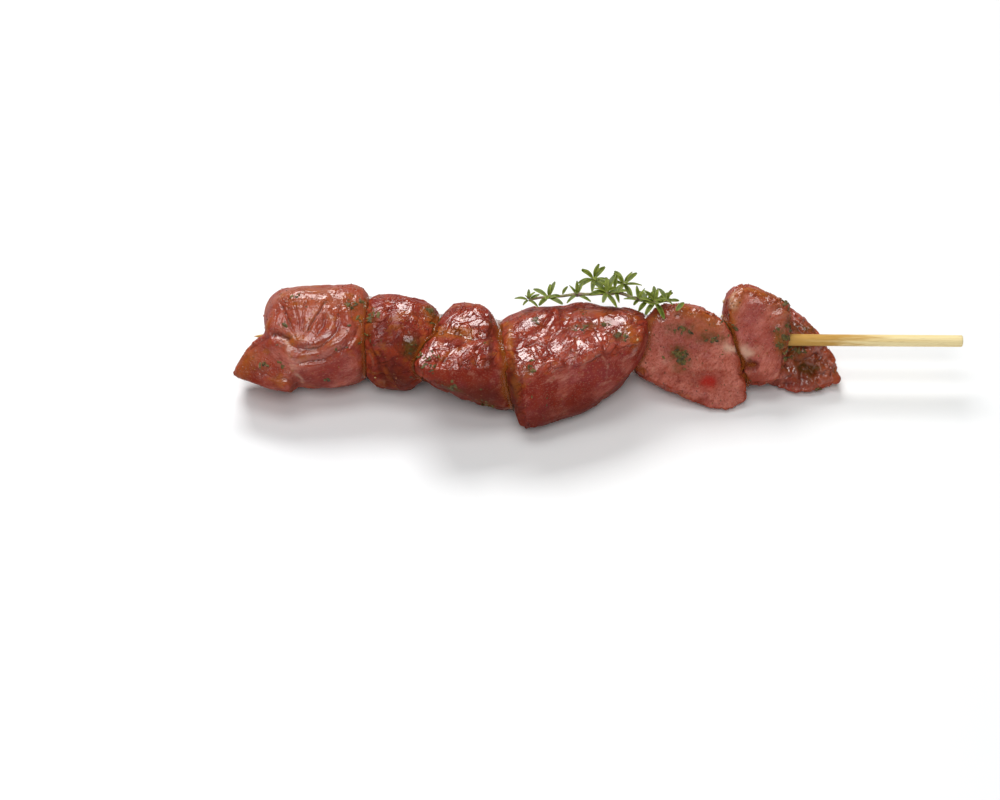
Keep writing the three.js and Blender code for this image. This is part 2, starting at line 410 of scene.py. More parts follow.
def on_chunk(node, x, turn):
    """The place on a chunk's skin, in millimetres from the stick's point."""
    away, surface = outward(turn), CAD_SURFACES[node]
    hit = surface.ray_cast(place(x, 0, 0) + away * FAR_OUT * MM, -away)[0]
    if hit is None:
        hit = surface.find_nearest(place(x, 0, 0) + away * NEAR_AXIS * MM)[0]
    return np.array((hit - TIP) / MM)


def from_route(points, route):
    """How many millimetres each point is from the line through the route's places."""
    nearest = np.linalg.norm(points - route[0], axis=1)
    for start, end in zip(route, route[1:]):
        run = end - start
        share = np.clip((points - start) @ run / max(run @ run, 1e-9), 0, 1)
        nearest = np.minimum(nearest, np.linalg.norm(points - start - share[:, None] * run, axis=1))
    return nearest


def stroked(node, points, strokes):
    share = np.zeros(len(points))
    for width, strength, *route in strokes:
        distance = from_route(points, [on_chunk(node, *at) if len(at) == 2 else np.array(at) for at in route])
        share = np.maximum(share, strength * np.exp(-(distance / width) ** 2))
    return share


print("brush ready")

# %% [markdown]
# Torn muscle breaks into facets, each tilted its own way, with thin dark tears between them. That is why the
# sheen on it comes in broken plates. Where the meat was torn off, it is ragged and lumpy.

# %% Relief of a chunk
CELL_MIDDLE = Vector((0.5, 0.5, 0.5))
MANY_CELLS = 997  # spreads neighbouring facet centres over unrelated cells of the noise
# Heights and depths in millimetres
LUMPS = 0.24
PLATES = 1.1
TEARS = 0.2
LINES = 0.06
STRANDS = 0.008
CRUMBS = 0.012
DENTS = 0.018
RAGS = 1.2, 0.3


def facet(p):
    """How far inside its facet a place is, and how far that facet's own tilt lifts it there."""
    distances, centres = noise.voronoi(p)
    tilt = noise.cell_vector(centres[0] * MANY_CELLS) - CELL_MIDDLE
    return distances[1] - distances[0], (p - centres[0]).dot(tilt)


def border(p):
    """How far inside its cell of a network a place is."""
    distances = noise.voronoi(p)[0]
    return distances[1] - distances[0]


def pit(p):
    return noise.voronoi(p)[0][0]


def relief(points, fibres, facts, cut, edge, ragged, seed):
    """How far the skin stands out, in millimetres, and how deep each point lies in a tear, from 0 to 1."""
    shift = np.array((seed * 17.3, seed * 5.1, seed * 9.7))
    torn = (1 - 0.85 * cut) * facts.get("torn", 1.0)
    lumps = sampled(noise.noise, points / 8 + shift)
    patches = sampled(noise.noise, points / 5 + shift * 2)
    wavy = bent(bent(fibres, 4.5, 1.3, shift), 1.2, 0.25, shift)
    gap, tilt = sampled(facet, wavy / facts["facet"] + shift).T
    tear = (1 - step(gap, 0.0, 0.07)) * step(patches, -0.3, 0.1)
    plate = tilt * step(gap, 0.0, 0.14)
    line = (1 - step(sampled(border, wavy / (6, 1.9, 1.9) + shift), 0.0, 0.16)) * step(-patches, -0.2, 0.25)
    strands = sampled(noise.noise, fibres / (3.4, 0.55, 0.55) + shift)
    crumbs = sampled(noise.noise, points / 1.5 + shift)
    dents = 1 - step(sampled(pit, points / 1.1 + shift), 0.1, 0.34)
    rags = RAGS[0] * sampled(noise.noise, points / 2.3 + shift) + RAGS[1] * sampled(noise.noise, points / 0.9)
    height = LUMPS * lumps + torn * (PLATES * plate - TEARS * tear - LINES * line) + STRANDS * strands
    height += CRUMBS * crumbs - DENTS * dents * (1 - 0.6 * cut) + edge * (0.4 * crumbs + 0.1)
    height += ragged * rags
    return height, np.clip(torn * (tear + 0.5 * line), 0, 1)


print("relief ready")

# %% [markdown]
# Every chunk differs: which way its fibres run, which sides are clean cuts, and where it is grooved, oily,
# fatty or green with herbs. So each has its own note. In it a stroke gives its half width in millimetres,
# its strength, and the places it runs through.

# %% Notes on the chunks
CHUNKS = {}


def note(number, **facts):
    CHUNKS[PORK[number - 1]] = facts
    print(PORK[number - 1], "has", ", ".join(facts))

# %% [markdown]
# The first chunk is a strip of muscle curled up on itself, so its fibres wind round an axis. The ridges are
# the rounded backs of its folds, and thin grooves fan out from the place where the folds pinch together.

# %% First chunk
note(
    1, paleness=0.5, cracked=0.3, torn=0.35, smoothing=22, facet=(12, 5, 8), grain=(0.4, -0.5, 0.8),
    curl={"centre": (15, -3.5, 9), "axis": (-0.1, -0.45, 0.9), "radius": 9},
    cut=[(0.1, -0.95, 0.0), (-0.2, -0.7, 0.1)],
    ridges=[
        (1.3, 0.75, (12.5, 68), (15, 66), (18.6, 62), (23.1, 50), (25.6, 33), (24.8, 12)),
        (1.0, 0.4, (13.5, 79), (16, 77), (20.7, 72), (24.5, 61), (27, 46)),
        (1.1, 0.45, (13.5, 52), (17, 49), (20.2, 36), (20.8, 20), (20, 8)),
    ],
    grooves=[
        (1.0, 0.7, (6.5, 41), (8.3, 43), (10, 46)), (0.7, 0.35, (0, 62), (3, 50), (6, 44)),
        (0.3, 0.42, (12.2, 46), (10.4, 30), (8.6, 8), (7.2, -8)),
        (0.28, 0.32, (12.6, 44), (12.2, 22), (11.6, 0)), (0.28, 0.36, (12.8, 44), (13.6, 24), (14.6, 1)),
        (0.3, 0.42, (13.6, 44), (16, 26), (18.2, 10), (19, -2)),
        (0.4, 0.3, (13, 57), (15.4, 58), (18.8, 54), (22, 42), (23, 22), (22.6, 4)),
        (0.35, 0.22, (13.4, 74), (17, 72), (21.6, 66), (25.6, 52), (27.4, 30)),
        (0.3, 0.2, (14.6, 47), (17, 42), (18.8, 30), (19, 14)),
    ],
    pale=[
        (0.6, 0.6, (11.6, 76), (12.6, 90), (13.4, 102)), (0.8, 0.4, (9, 55), (11, 66)),
        (1.8, 0.2, (3.5, -10), (10, -22), (19, -20)),
    ],
    oil=[
        (1.1, 0.9, (4.5, 25)), (2.6, 0.6, (-3, 95), (-1.5, 85), (0, 72)), (1.6, 0.8, (7.7, 90)),
        (1.1, 0.4, (27, 5), (28, 25), (28.5, 45)), (4.0, 0.35, (12, -4), (20, -6), (26, -4)),
        (1.4, 0.9, (11, 46), (13, 45)), (1.0, 0.4, (16, 58), (20, 52), (24, 40)),
    ],
    purple=[(4.0, 0.5, (16, 90), (24, 86))],
    wet=[
        (2.6, 0.9, (13.5, 66), (18.6, 62), (23.1, 50), (25, 33), (24, 16)),
        (0.7, 0.7, (0.5, 60), (3.5, 57)), (3.0, 0.5, (10, 30), (15, 36), (18, 24)),
    ],
    green=[(1.0, 0.6, (4, 82)), (1.4, 0.5, (26, -2), (28, -7)), (0.8, 0.5, (9.2, 29))],
)

# %% [markdown]
# The second chunk is small and squeezed between its neighbours. It has no clean cut. Creases run down its
# left side, and its front is dull, with painted brown shade on it.

# %% Second chunk
note(
    2, paleness=-0.05, cracked=0.7, torn=0.8, facet=(8, 4, 4), grain=(0.75, 0.45, 0.3), cut=[],
    grooves=[
        (0.8, 0.6, (29.5, 44), (31.6, 64), (32.6, 88), (34.6, 114)),
        (0.6, 0.4, (33, 60), (34.2, 84), (36.5, 108)),
    ],
    pale=[(0.4, 0.2, (30.8, 62), (31.6, 86), (33.4, 112))],
    purple=[(3.0, 0.7, (33.5, 40), (34, 80))],
    matt=[(4.0, 0.9, (36, 80), (38, 100)), (4.5, 0.55, (33, 36), (37, 44), (41, 58))],
    oil=[
        (2.0, 0.9, (45.5, 0), (46, 20)), (1.6, 0.6, (30, 20), (29.5, 40)), (1.2, 0.5, (38, 10), (41, 12)),
        (1.6, 0.5, (33.5, 112)),
    ],
    green=[(1.1, 0.9, (31, 17)), (2.4, 0.8, (40.5, 56), (45, 64)), (1.6, 0.7, (45.5, -4), (47, 2))],
)

# %% [markdown]
# The third chunk is the darkest, with painted shade on its front and on a strip of its right side, and the
# most cracked. Oil gathers in a crease across its upper front and on its right rim, next to a deep groove.

# %% Third chunk
note(
    3, paleness=-0.3, cracked=1.0, facet=(8, 5, 5), grain=(0.5, 0.8, 0.1),
    cut=[(0.1, -0.97, 0.15), (0.75, -0.35, 0.55)],
    grooves=[
        (1.0, 0.5, (44.5, 32), (48, 36), (52, 39), (56.5, 43)), (0.7, 0.4, (49, 60), (54, 46)),
        (2.2, 1.1, (64.8, 0), (65, 30), (65, 56)),
    ],
    oil=[
        (1.5, 0.95, (44.5, 30), (48, 36), (52, 39), (55, 42)),
        (1.5, 1.0, (62.6, 20), (63, 34), (63.4, 46), (63.8, 56), (64.2, 66), (64.4, 78), (64.8, 91)),
    ],
    green=[(1.4, 0.9, (50.2, 81), (52.6, 83)), (1.8, 0.6, (58.2, 98), (60.5, 102))],
    pale=[(0.7, 0.5, (64.5, 112), (66, 108))],
    matt=[(1.6, 1.0, (60.2, 28), (60.2, 45), (60, 62)), (4.5, 1.0, (50, 84), (60, 90))],
)

# %% [markdown]
# The fourth chunk is the longest, cut clean in front and towards its right end. Thin pale arcs of sinew show
# on its front, and pinches of herbs lie on its top.

# %% Fourth chunk
note(
    4, paleness=0.15, cracked=0.8, facet=(9, 6, 6), grain=(0.75, 0.6, 0.25),
    cut=[(0.35, -0.93, 0.1), (0.7, -0.6, 0.1)],
    grooves=[
        (0.6, 0.25, (65, 44), (69.5, 41), (73, 32), (75, 18), (76, 4)),
        (0.4, 0.4, (69.5, 50), (72, 46), (75, 50), (75.5, 56), (73.5, 60)),
        (0.4, 0.25, (82.5, 10), (83, 26), (80, 44)),
    ],
    pale=[
        (0.35, 0.4, (81.5, 55), (80.6, 61), (79, 68)), (0.35, 0.45, (88, 61), (89.4, 71), (88.6, 82)),
        (0.3, 0.35, (84, 60), (83.4, 72)), (0.3, 0.35, (76, 64), (75.4, 74)),
    ],
    oil=[
        (0.9, 0.9, (64.6, 24), (65.2, 46), (65.6, 58), (66.2, 66), (66.6, 74), (67, 84)),
        (1.5, 0.5, (84, -4), (90, 4)), (1.5, 0.9, (95, 30), (96, 48)),
    ],
    purple=[(4.0, 0.6, (80, 68), (89, 72))],
    matt=[(2.5, 1.0, (65.5, 66), (66, 80), (66.5, 95)), (6.0, 0.3, (72, 100), (82, 105))],
    wet=[(0.8, 0.9, (95.5, 62), (96.8, 50), (97.5, 44))],
    green=[
        (1.2, 0.9, (72, 20)), (1.1, 0.8, (70, 64)), (1.4, 0.8, (82, 30), (85, 27)), (1.4, 0.8, (88.5, 23)),
        (1.4, 0.8, (92, 38), (93.4, 41)),
    ],
)

# %% [markdown]
# The fifth chunk is pale and cut clean, with a wet and ragged rim along the left and the top of the cut. A
# dark patch of herbs lies on its front, with one spot of blood below, and fat shows on its right edge.

# %% Fifth chunk
note(
    5, paleness=0.95, cracked=0.4, facet=(6, 4, 4), grain=(0.35, -0.4, 0.85), cut=[(0, -0.85, 0.53)],
    ragged=[(0.9, 0.5, (99.5, 38), (101.5, 13), (105, 6), (109, 0)), (1.6, 0.4, (112, 0), (118, 14))],
    purple=[(4.0, 0.5, (104, 45), (112, 45))],
    wet=[(0.9, 1.0, (98.8, 60), (99.6, 38), (101.5, 13), (104.7, 8)), (1.6, 0.6, (110, 2), (118, 15))],
    oil=[
        (2.2, 0.8, (108.5, 0), (112, 4), (116, 12)), (1.8, 0.5, (112, 18), (115.5, 26)),
        (1.3, 0.9, (98.5, 30), (99.5, 14), (102, 2)),
    ],
    green=[
        (2.1, 1.0, (107.4, 76), (108.4, 90)), (1.4, 0.7, (106, 22), (110, 28)),
        (1.6, 0.7, (114, 40), (118, 45)),
    ],
    matt=[(4.5, 0.25, (104, 50), (112, 55))],
    blood=[(1.5, 1.0, (115.6, 115))],
    pale=[(0.5, 0.4, (104.5, 92), (107, 100)), (1.1, 1.0, (119.6, 64), (122, 72))],
)

# %% [markdown]
# The last chunk is cut clean in front. Its end is a fold of torn meat behind and below the stick, ragged and
# green with herbs, and a long groove parts it from the rest.

# %% Last chunk
note(
    6, paleness=0.9, cracked=0.2, facet=(6, 4, 4), grain=(0.5, 0.3, 0.8), cut=[(0, -0.82, 0.57)],
    ragged=[
        (5.5, 1.4, (136, 1, -3), (141, -2, -6), (146, -2, -8)), (3.5, 0.9, (133, -16), (137, -10)),
        (2.2, 0.9, (135, 3, 2), (139, 4, 0), (144, 4.5, -1)),
    ],
    grooves=[
        (1.1, 1.5, (122.5, 100), (124.5, 104), (127, 104)),
        (1.2, 0.5, (134.2, 76), (134.6, 110), (136, 140)),
        (1.3, 1.3, (140.5, -3.4, -6.6), (141.8, -3.8, -6.9)),
    ],
    pale=[
        (1.2, 1.0, (121.2, 62), (124, 74), (126, 84)), (0.6, 0.9, (120.4, 12), (120.6, -6), (121.4, -16)),
    ],
    purple=[(5.0, 0.7, (123, 20), (128, 55))],
    matt=[(3.6, 0.35, (136, 60), (141, -2, -6), (145, -2, -8))],
    wet=[(1.1, 0.8, (120.4, -8), (122, -20), (126, -22), (131, -12)), (3.0, 0.35, (137, -2), (144, -14))],
    oil=[
        (1.4, 0.95, (120, 24), (120.4, 0), (122, -16), (126, -22), (130, -16)),
        (5.0, 0.35, (136, 1, -3), (141, -2, -6), (146, -2, -8)),
        (1.6, 0.8, (133.6, 40), (134.4, 80), (135.4, 130)), (2.5, 0.7, (132, -20), (137, -10)),
    ],
    green=[
        (1.3, 0.9, (143.8, -3.6, -6.8)), (2.2, 0.75, (140.3, -3.4, -6.2), (142, -3.8, -7)),
        (1.7, 0.8, (134.6, 10), (137, 3.4, 0.5), (141.5, 4, 0)), (1.6, 0.8, (133, 20), (134, 60)),
        (1.6, 0.7, (135, -20), (138, -8)),
    ],
)

# %% [markdown]
# A chunk on a skewer is pressed between its neighbours and grips the stick. The first helper measures how
# near the neighbours are, and the second closes the meat up on the wood.

# %% Neighbours and the stick
SHELTER_REACH = 4.5
STICK_CLEARANCE = 0.36


def distance_to_neighbours(node, points):
    """How many millimetres each point is from a neighbouring chunk, up to SHELTER_REACH."""
    reach = SHELTER_REACH * MM
    distance = np.full(len(points), float(SHELTER_REACH))
    number = PORK.index(node)
    for other in (PORK[i] for i in (number - 1, number + 1) if 0 <= i < len(PORK)):
        low, high = (np.array(corner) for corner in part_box(other))
        close = np.flatnonzero(np.all((points > low - reach) & (points < high + reach), axis=1))
        for index in close.tolist():
            found = CAD_SURFACES[other].find_nearest(points[index].tolist(), reach)[3]
            if found is not None:
                distance[index] = min(distance[index], found / MM)
    return distance


def hug_stick(points):
    """Closes the CAD's clearance, so that the meat grips the stick."""
    offset = points[:, 1:]
    distance = np.hypot(offset[:, 0], offset[:, 1])
    closer = distance - STICK_CLEARANCE * (1 - step(distance, 2.0, 3.6))
    points[:, 1:] = offset * (np.maximum(closer, 0.2) / np.maximum(distance, 0.2))[:, None]
    return points


print("neighbours can be measured")

# %% [markdown]
# Now each chunk is made. Where it touches a neighbour or the table the relief dies out, so that nothing
# cuts through. What the material needs later is stored on the points: the fibre coordinates, how torn or
# cut the skin is, and where it is oily, fatty or green.

# %% Skins of the chunks
SKIN_VOXEL = 0.5
FACET_SMOOTHING = 9
TOUCH_REACH = 2.2
FAT_LIFT = 0.2
OIL_LIFT = 0.15
SKIN_SINK = 0.1
OVER_TABLE = 0.02
SQUARE_TO_CUT = 0.78, 0.95  # from here to there a facing counts as the cut's own
EDGE_BEND = 0.14, 0.4  # in 1/mm, where an edge begins and where it counts in full
HOLLOW_BEND = 0.12, 0.7
# the last of these marks dull patches, which the finish also darkens with painted shade
PAINTED = "blood", "purple", "wet", "matt"


def chunk_skin(node, facts, seed):
    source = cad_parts[node]
    copy = source.data.copy()
    copy.transform(source.matrix_world)
    copy.materials.clear()
    smoothing = facts.get("smoothing", FACET_SMOOTHING)
    piece = rebuilt(new_object(node + "_skin", copy), SKIN_VOXEL, smoothing, finer=1)
    mesh = piece.data
    points, normals = points_of(mesh), normals_of(mesh)
    wavy = bent(bent(points, 3, 1.2), 1.0, 0.3)
    calm = bent(bent(points, 7, 0.8), 1.0, 0.12)

    def drawn(name, where=wavy):
        return stroked(node, where, facts.get(name, []))

    cut = np.zeros(len(points))
    for facing in facts["cut"]:
        cut = np.maximum(cut, step(normals @ np.array(Vector(facing).normalized()), *SQUARE_TO_CUT))
    ragged = np.clip(drawn("ragged", points), 0, 1)
    cut *= 1 - ragged
    edge = step(convexity(mesh, points, normals, 6), *EDGE_BEND) * (1 - 0.5 * cut)
    fibres = fibre_coordinates(points, facts["grain"], facts.get("curl"))
    height, tear = relief(points, fibres, facts, cut, edge, ragged, seed)
    apart = distance_to_neighbours(node, to_frame(points))
    touching = np.clip(1 - apart / TOUCH_REACH, 0, 1)
    oil, pale = drawn("oil"), drawn("pale")
    height += drawn("ridges", calm)
    # grooves are marked for dark red, which is painted shade in them
    groove_shade = np.zeros(len(points))
    for stroke in facts.get("grooves", []):
        mark = stroked(node, calm, [stroke])
        height -= mark
        groove_shade = np.maximum(groove_shade, step(mark, 0.15, 0.6))
    height += FAT_LIFT * pale * (1 - cut) + OIL_LIFT * oil
    under = 1 - step(points[:, 2] - TABLE, 0.3, 2.0)
    height *= 1 - 0.75 * np.maximum(touching, under)
    points += normals * (height - SKIN_SINK)[:, None]
    points[:, 2] = np.maximum(points[:, 2], TABLE + OVER_TABLE)
    points = hug_stick(points)
    set_points(mesh, points)
    shade_smooth(mesh)
    store(mesh, {
        "fibres": fibres,
        "tear": np.maximum(tear, groove_shade),
        "cut": cut,
        "oil": np.clip(np.maximum(oil, touching * 0.15), 0, 1),
        # painted shade: darker towards the table, where the meat gets less light
        "low": 1 - step(points[:, 2] - TABLE, 3, 19),
        # painted shade: where the skin curves inwards
        "hollow_shade": step(-convexity(mesh, points, normals_of(mesh), 5), *HOLLOW_BEND),
        "edge": edge,
        "level": normals[:, 2],
        "sheltered": 1 - apart / SHELTER_REACH,
        "paleness": np.full(len(points), facts["paleness"]),
        "pale": pale,
        "green": drawn("green"),
        "cracked": facts["cracked"] * (1 - ragged),
    })
    store(mesh, {name: drawn(name) for name in PAINTED})
    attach(piece, "root")
    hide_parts(node)
    print(piece.name, len(mesh.polygons), "faces")
    return piece


skins = {node: chunk_skin(node, facts, seed) for seed, (node, facts) in enumerate(CHUNKS.items(), 1)}

# %% [markdown]
# Three effects come back in several finishes, so each is a node group, built once. `fibre grain` gives thin
# streaks along one direction, for muscle, wood and stems. `mottle` gives soft blots, for meat, leaves and
# spice. `specks` gives small separate dots, for wet muscle, leaf glands and the ends of bamboo fibres.

# %% Shared effects
def new_group(name, pattern, **inputs):
    """A node group that puts out how far its pattern has gone from Low to High."""
    group = bpy.data.node_groups.new(name, "ShaderNodeTree")
    for socket, value in {"Vector": (0, 0, 0), **inputs, "Low": 0.4, "High": 0.6}.items():
        kind = "NodeSocketVector" if isinstance(value, tuple) else "NodeSocketFloat"
        group.interface.new_socket(socket, in_out="INPUT", socket_type=kind).default_value = value
    group.interface.new_socket("Share", in_out="OUTPUT", socket_type="NodeSocketFloat")
    nodes = Nodes(group)
    given = nodes.add("NodeGroupInput").outputs
    share = nodes.between(pattern(nodes, given), given["Low"], given["High"])
    nodes.add("NodeGroupOutput", {"Share": share})
    return group


def streaks(nodes, given):
    return nodes.cloud(nodes.stretched(given["Vector"], given["Stretch"]), 1.0, 4)


def blots(nodes, given):
    return nodes.cloud(given["Vector"], given["Scale"], 4)


def dots(nodes, given):
    return nodes.voronoi(given["Vector"], given["Scale"])


FIBRE_GRAIN = new_group("fibre grain", streaks, Stretch=(0.05, 2, 2))
MOTTLE = new_group("mottle", blots, Scale=1.0)
SPECKS = new_group("specks", dots, Scale=1.0)
print("effects:", [group.name for group in bpy.data.node_groups])

# %% [markdown]
# The finish of wet pork has three layers. Underneath is pink muscle with deeper red between the bundles and
# pale veins, and light travels a little way into it. The veins and strands follow the fibre coordinates.

# %% Muscle
PINK_MUSCLE = (0.60, 0.19, 0.14, 1)
RED_MUSCLE = (0.24, 0.022, 0.012, 1)
PURPLE_MUSCLE = (0.30, 0.055, 0.065, 1)
DEEP_RED = (0.09, 0.008, 0.003, 1)
PALE_FIBRE_AND_GLINT = (0.62, 0.27, 0.19, 1)
pork = Finish("wet_pork")
fibres = pork.attribute("fibres", "Vector")
tone = pork.cloud(pork.at, 0.14, 3)
unevenness = pork.between(tone, 0.32, 0.68, -0.45, 0.45)
uneven_tone = pork.sums("ADD", "paleness", unevenness, clamp=True)
patches = pork.effect(MOTTLE, Vector=pork.stretched(pork.at, (1, 1, 0.7)), Scale=0.17, Low=0.5, High=0.62)
strands = pork.effect(FIBRE_GRAIN, Vector=fibres, Stretch=(0.25, 1.9, 1.9), Low=0.38, High=0.7)
veins = pork.effect(FIBRE_GRAIN, Vector=fibres, Stretch=(0.14, 0.5, 0.5), Low=0.58, High=0.66)
stipple = pork.effect(SPECKS, Vector=pork.stretched(fibres, (0.8, 1.2, 1.2)), Scale=1.9, Low=0.42, High=0.15)
dark_dots = pork.effect(MOTTLE, Scale=2.1, Low=0.42, High=0.30)
pork.start(uneven_tone, RED_MUSCLE, PINK_MUSCLE)
pork.lay(PURPLE_MUSCLE, patches, 0.4)
pork.lay(PURPLE_MUSCLE, "purple", 0.65)
pork.lay(RED_MUSCLE, strands, 0.5)
pork.lay(PALE_FIBRE_AND_GLINT, veins, 0.35)
# pale fibre ends and painted glints: the pale specks stand in partly for tiny highlights
pork.lay(PALE_FIBRE_AND_GLINT, stipple, 0.32)
pork.lay(DEEP_RED, dark_dots, 0.6)
print("muscle coloured")

# %% [markdown]
# Over the muscle lies the marinade's stain: red in blotches and amber where it gathers. Painted shade follows:
# dark red in the hollows and towards the table, and a shade brown on the dull patches. The tears are deeper
# red, and in the grooves that red is painted shade as well. Where the skin is torn, thin cracks break it into
# plates.
# The painted places come last: fat, one spot of blood, and the juice of the herbs.

# %% Stains
FAT = (0.70, 0.45, 0.33, 1)
RED_FILM = (0.36, 0.048, 0.016, 1)
AMBER_FILM = (0.40, 0.115, 0.012, 1)
HERB_JUICE = (0.085, 0.058, 0.010, 1)
SHADE_BROWN = (0.055, 0.014, 0.008, 1)
BLOOD_RED = (0.42, 0.012, 0.008, 1)
PLATE_SCALE = 0.52
torn_skin = pork.between("cut", 0.2, 0.9, 1.0, 0.0)
blotches = pork.effect(MOTTLE, Scale=0.42, Low=0.42, High=0.62)
amber = pork.effect(MOTTLE, Vector=pork.stretched(pork.at, (1, 1.1, 1.2)), Scale=0.30, Low=0.54, High=0.68)
amber_share = pork.sums("ADD", pork.times(amber, torn_skin, 0.6), "oil", clamp=True)
pork.lay(RED_MUSCLE, torn_skin, 0.35)
pork.lay(RED_FILM, blotches, pork.between(torn_skin, 0.0, 1.0, 0.3, 0.75))
pork.lay(AMBER_FILM, amber_share, 0.85)
pork.lay(RED_FILM, "edge", 0.45)
# painted shade: dark red towards the table on the lower parts of the chunks
pork.lay(DEEP_RED, "low", pork.between(uneven_tone, 0.2, 0.9, 0.6, 0.1))
# painted shade: dark red in the hollows of the skin
pork.lay(DEEP_RED, "hollow_shade", 0.6)
# deeper red in the tears, and painted shade in the grooves
pork.lay(DEEP_RED, "tear", 0.4)
# painted shade: a shade brown on the patches marked dull
pork.lay(SHADE_BROWN, "matt", 0.65)
long_cells = pork.stretched(fibres, (0.5, 1, 1))
shake = pork.cloud(long_cells, 0.5, 2.0, 0.5, "Color")
centred = pork.add("ShaderNodeVectorMath", {0: shake, 1: (0.5,) * 3}, operation="SUBTRACT").outputs[0]
moved = pork.add("ShaderNodeVectorMath", {0: centred, 1: (2,) * 3, 2: long_cells}, operation="MULTIPLY_ADD")
net = moved.outputs[0]
crack_lines = pork.between(pork.voronoi(net, PLATE_SCALE, "DISTANCE_TO_EDGE"), 0.02, 0.09, 1.0, 0.0)
crack_places = pork.effect(MOTTLE, Scale=0.22, Low=0.40, High=0.56)
cracks = pork.times(crack_lines, crack_places, torn_skin, "cracked")
pork.lay(DEEP_RED, cracks, 0.65)
pork.lay(FAT, "pale", 0.7)
pork.lay(BLOOD_RED, "blood", 0.9)
pork.lay(HERB_JUICE, "green", pork.between(pork.cloud(pork.at, 0.9, 4), 0.35, 0.6, 0.35, 1.0))
print("stains laid")

# %% [markdown]
# On top is oil, a clear coat whose fine unevenness breaks the highlights: fibres, grit, pinholes, cracks and
# small drops. It shines where the skin looks up and where `wet` is painted, less on clean cuts and between
# neighbours, and least on the dull patches, which also carry painted shade.

# %% Oil on the pork
OIL_TINT = (1.0, 0.86, 0.70, 1)
fine = pork.cloud(pork.stretched(fibres, (0.7, 1.7, 1.7)), 1.0, 3)
grit = pork.effect(SPECKS, Scale=1.3, Low=0.3, High=0.12)
pinholes = pork.effect(SPECKS, Scale=2.6, Low=0.34, High=0.18)
drop_places = pork.effect(MOTTLE, Scale=0.6, Low=0.42, High=0.6)
drops = pork.times(pork.effect(SPECKS, Scale=1.5, Low=0.27, High=0.05), drop_places)
height = pork.times(fine, 0.03)
for part, amount in ((grit, 0.18), (pinholes, -0.18), (cracks, -0.40), (drops, 1.0)):
    height = pork.sums("ADD", height, pork.times(part, amount))
still_oil = pork.between("oil", 0.3, 0.9, 1.0, 0.25)
skin_bump = pork.bump(pork.times(height, still_oil), 0.2)
gloss = pork.times(
    pork.between("cut", 0.3, 1.0, 1.0, 0.35),
    pork.between("level", 0.35, 0.8, 0.2, 1.0),
    pork.between("sheltered", 0.1, 0.7, 1.0, 0.12),
)
plate_sheen = pork.between(pork.voronoi(net, PLATE_SCALE, "F1", "Color"), 0.3, 0.7, 0.55, 1.0)
gloss = pork.times(pork.sums("ADD", gloss, "wet", clamp=True), plate_sheen)
gloss = pork.sums("ADD", gloss, pork.times(drops, 0.8), clamp=True)
dry = pork.sums("ADD", pork.times(cracks, 0.9), "matt", clamp=True)
facing = pork.add("ShaderNodeLayerWeight", {"Blend": 0.5}).outputs["Facing"]
gloss = pork.times(pork.sums("SUBTRACT", gloss, dry, clamp=True), pork.between(facing, 0.4, 0.8, 1.0, 0.08))
pork.settle(
    Roughness=pork.between(tone, 0.3, 0.7, 0.4, 0.55), Normal=skin_bump, Coat_Normal=skin_bump,
    Coat_Weight=gloss, Coat_Roughness=0.04, Coat_IOR=1.75, Coat_Tint=OIL_TINT, Specular_IOR_Level=0.04,
    Subsurface_Weight=0.12, Subsurface_Radius=(1.0, 0.35, 0.2), Subsurface_Scale=1.0 * MM,
)
for skin in skins.values():
    skin.data.materials.append(pork.material)

# %% [markdown]
# Marinade settles where chunks meet and in their grooves, and its surface there is smooth and hollow, like
# water between two stones. It is found, not drawn: all skins together are remeshed and smoothed, which fills
# valleys and wears down ridges, and only the parts that end up above the meat are kept. How much stands in
# each seam is a level in millimetres.

# %% Level of the marinade
SEAM_LEVELS = ((29, 0.12), (46, 0.2), (63.5, 0.35), (99, 0.05), (119.5, 0.2))
SEAM_REACH = 3.2
OPEN_LEVEL = -0.35  # away from the seams only the deepest grooves hold any
SKIN_REACH = 4 * MM
depsgraph = bpy.context.evaluated_depsgraph_get()
SKIN_SURFACES = [(bvhtree.BVHTree.FromObject(skin, depsgraph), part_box(node)) for node, skin in skins.items()]


def near_skins(point):
    """The nearest place on each chunk close by, with its normal and distance, nearest chunk first."""
    close = [
        surface for surface, (low, high) in SKIN_SURFACES
        if low[0] - SKIN_REACH < point.x < high[0] + SKIN_REACH
    ]
    return sorted((surface.find_nearest(point) for surface in close), key=lambda found: found[3])


def opening_at(point):
    """How many millimetres away the second nearest chunk is."""
    found = near_skins(point)
    return found[1][3] / MM if len(found) > 1 else FAR_OUT


def height_above_skin(point):
    """How many millimetres a point is above the skins, under 0 inside them."""
    near, normal, _, distance = near_skins(point)[0]
    return math.copysign(distance / MM, (point - near).dot(normal))


def pool_level(x, opening):
    """The level at a place along the stick, where the opening between the two chunks is that wide."""
    level = min(SEAM_LEVELS, key=lambda seam: abs(seam[0] - x))[1]
    return OPEN_LEVEL + math.exp(-((opening / SEAM_REACH) ** 2)) * (level - OPEN_LEVEL)


print("marinade stands up to", max(level for _, level in SEAM_LEVELS), "mm over the smoothed seams")

# %% [markdown]
# The marinade's mesh is cut back to its pools. Faces well under the skins go, and so does every group of
# faces too small to be a pool, since it would be a stray speck.

# %% Pools of marinade
POOL_VOXEL = 0.6
POOL_SMOOTHING = 30
POOL_BURIED = -0.25  # how far under the skin a pool's edge may lie
SMALLEST_POOL = 60  # faces
POOL_OVER_TABLE = 0.05


def islands(bm):
    """The faces in groups, each group hanging together."""
    waiting = set(bm.faces)
    found = []
    for start in bm.faces:
        if start not in waiting:
            continue
        waiting.remove(start)
        group = [start]
        for face in group:
            around = [other for edge in face.edges for other in edge.link_faces if other in waiting]
            waiting.difference_update(around)
            group.extend(dict.fromkeys(around))
        found.append(group)
    return found


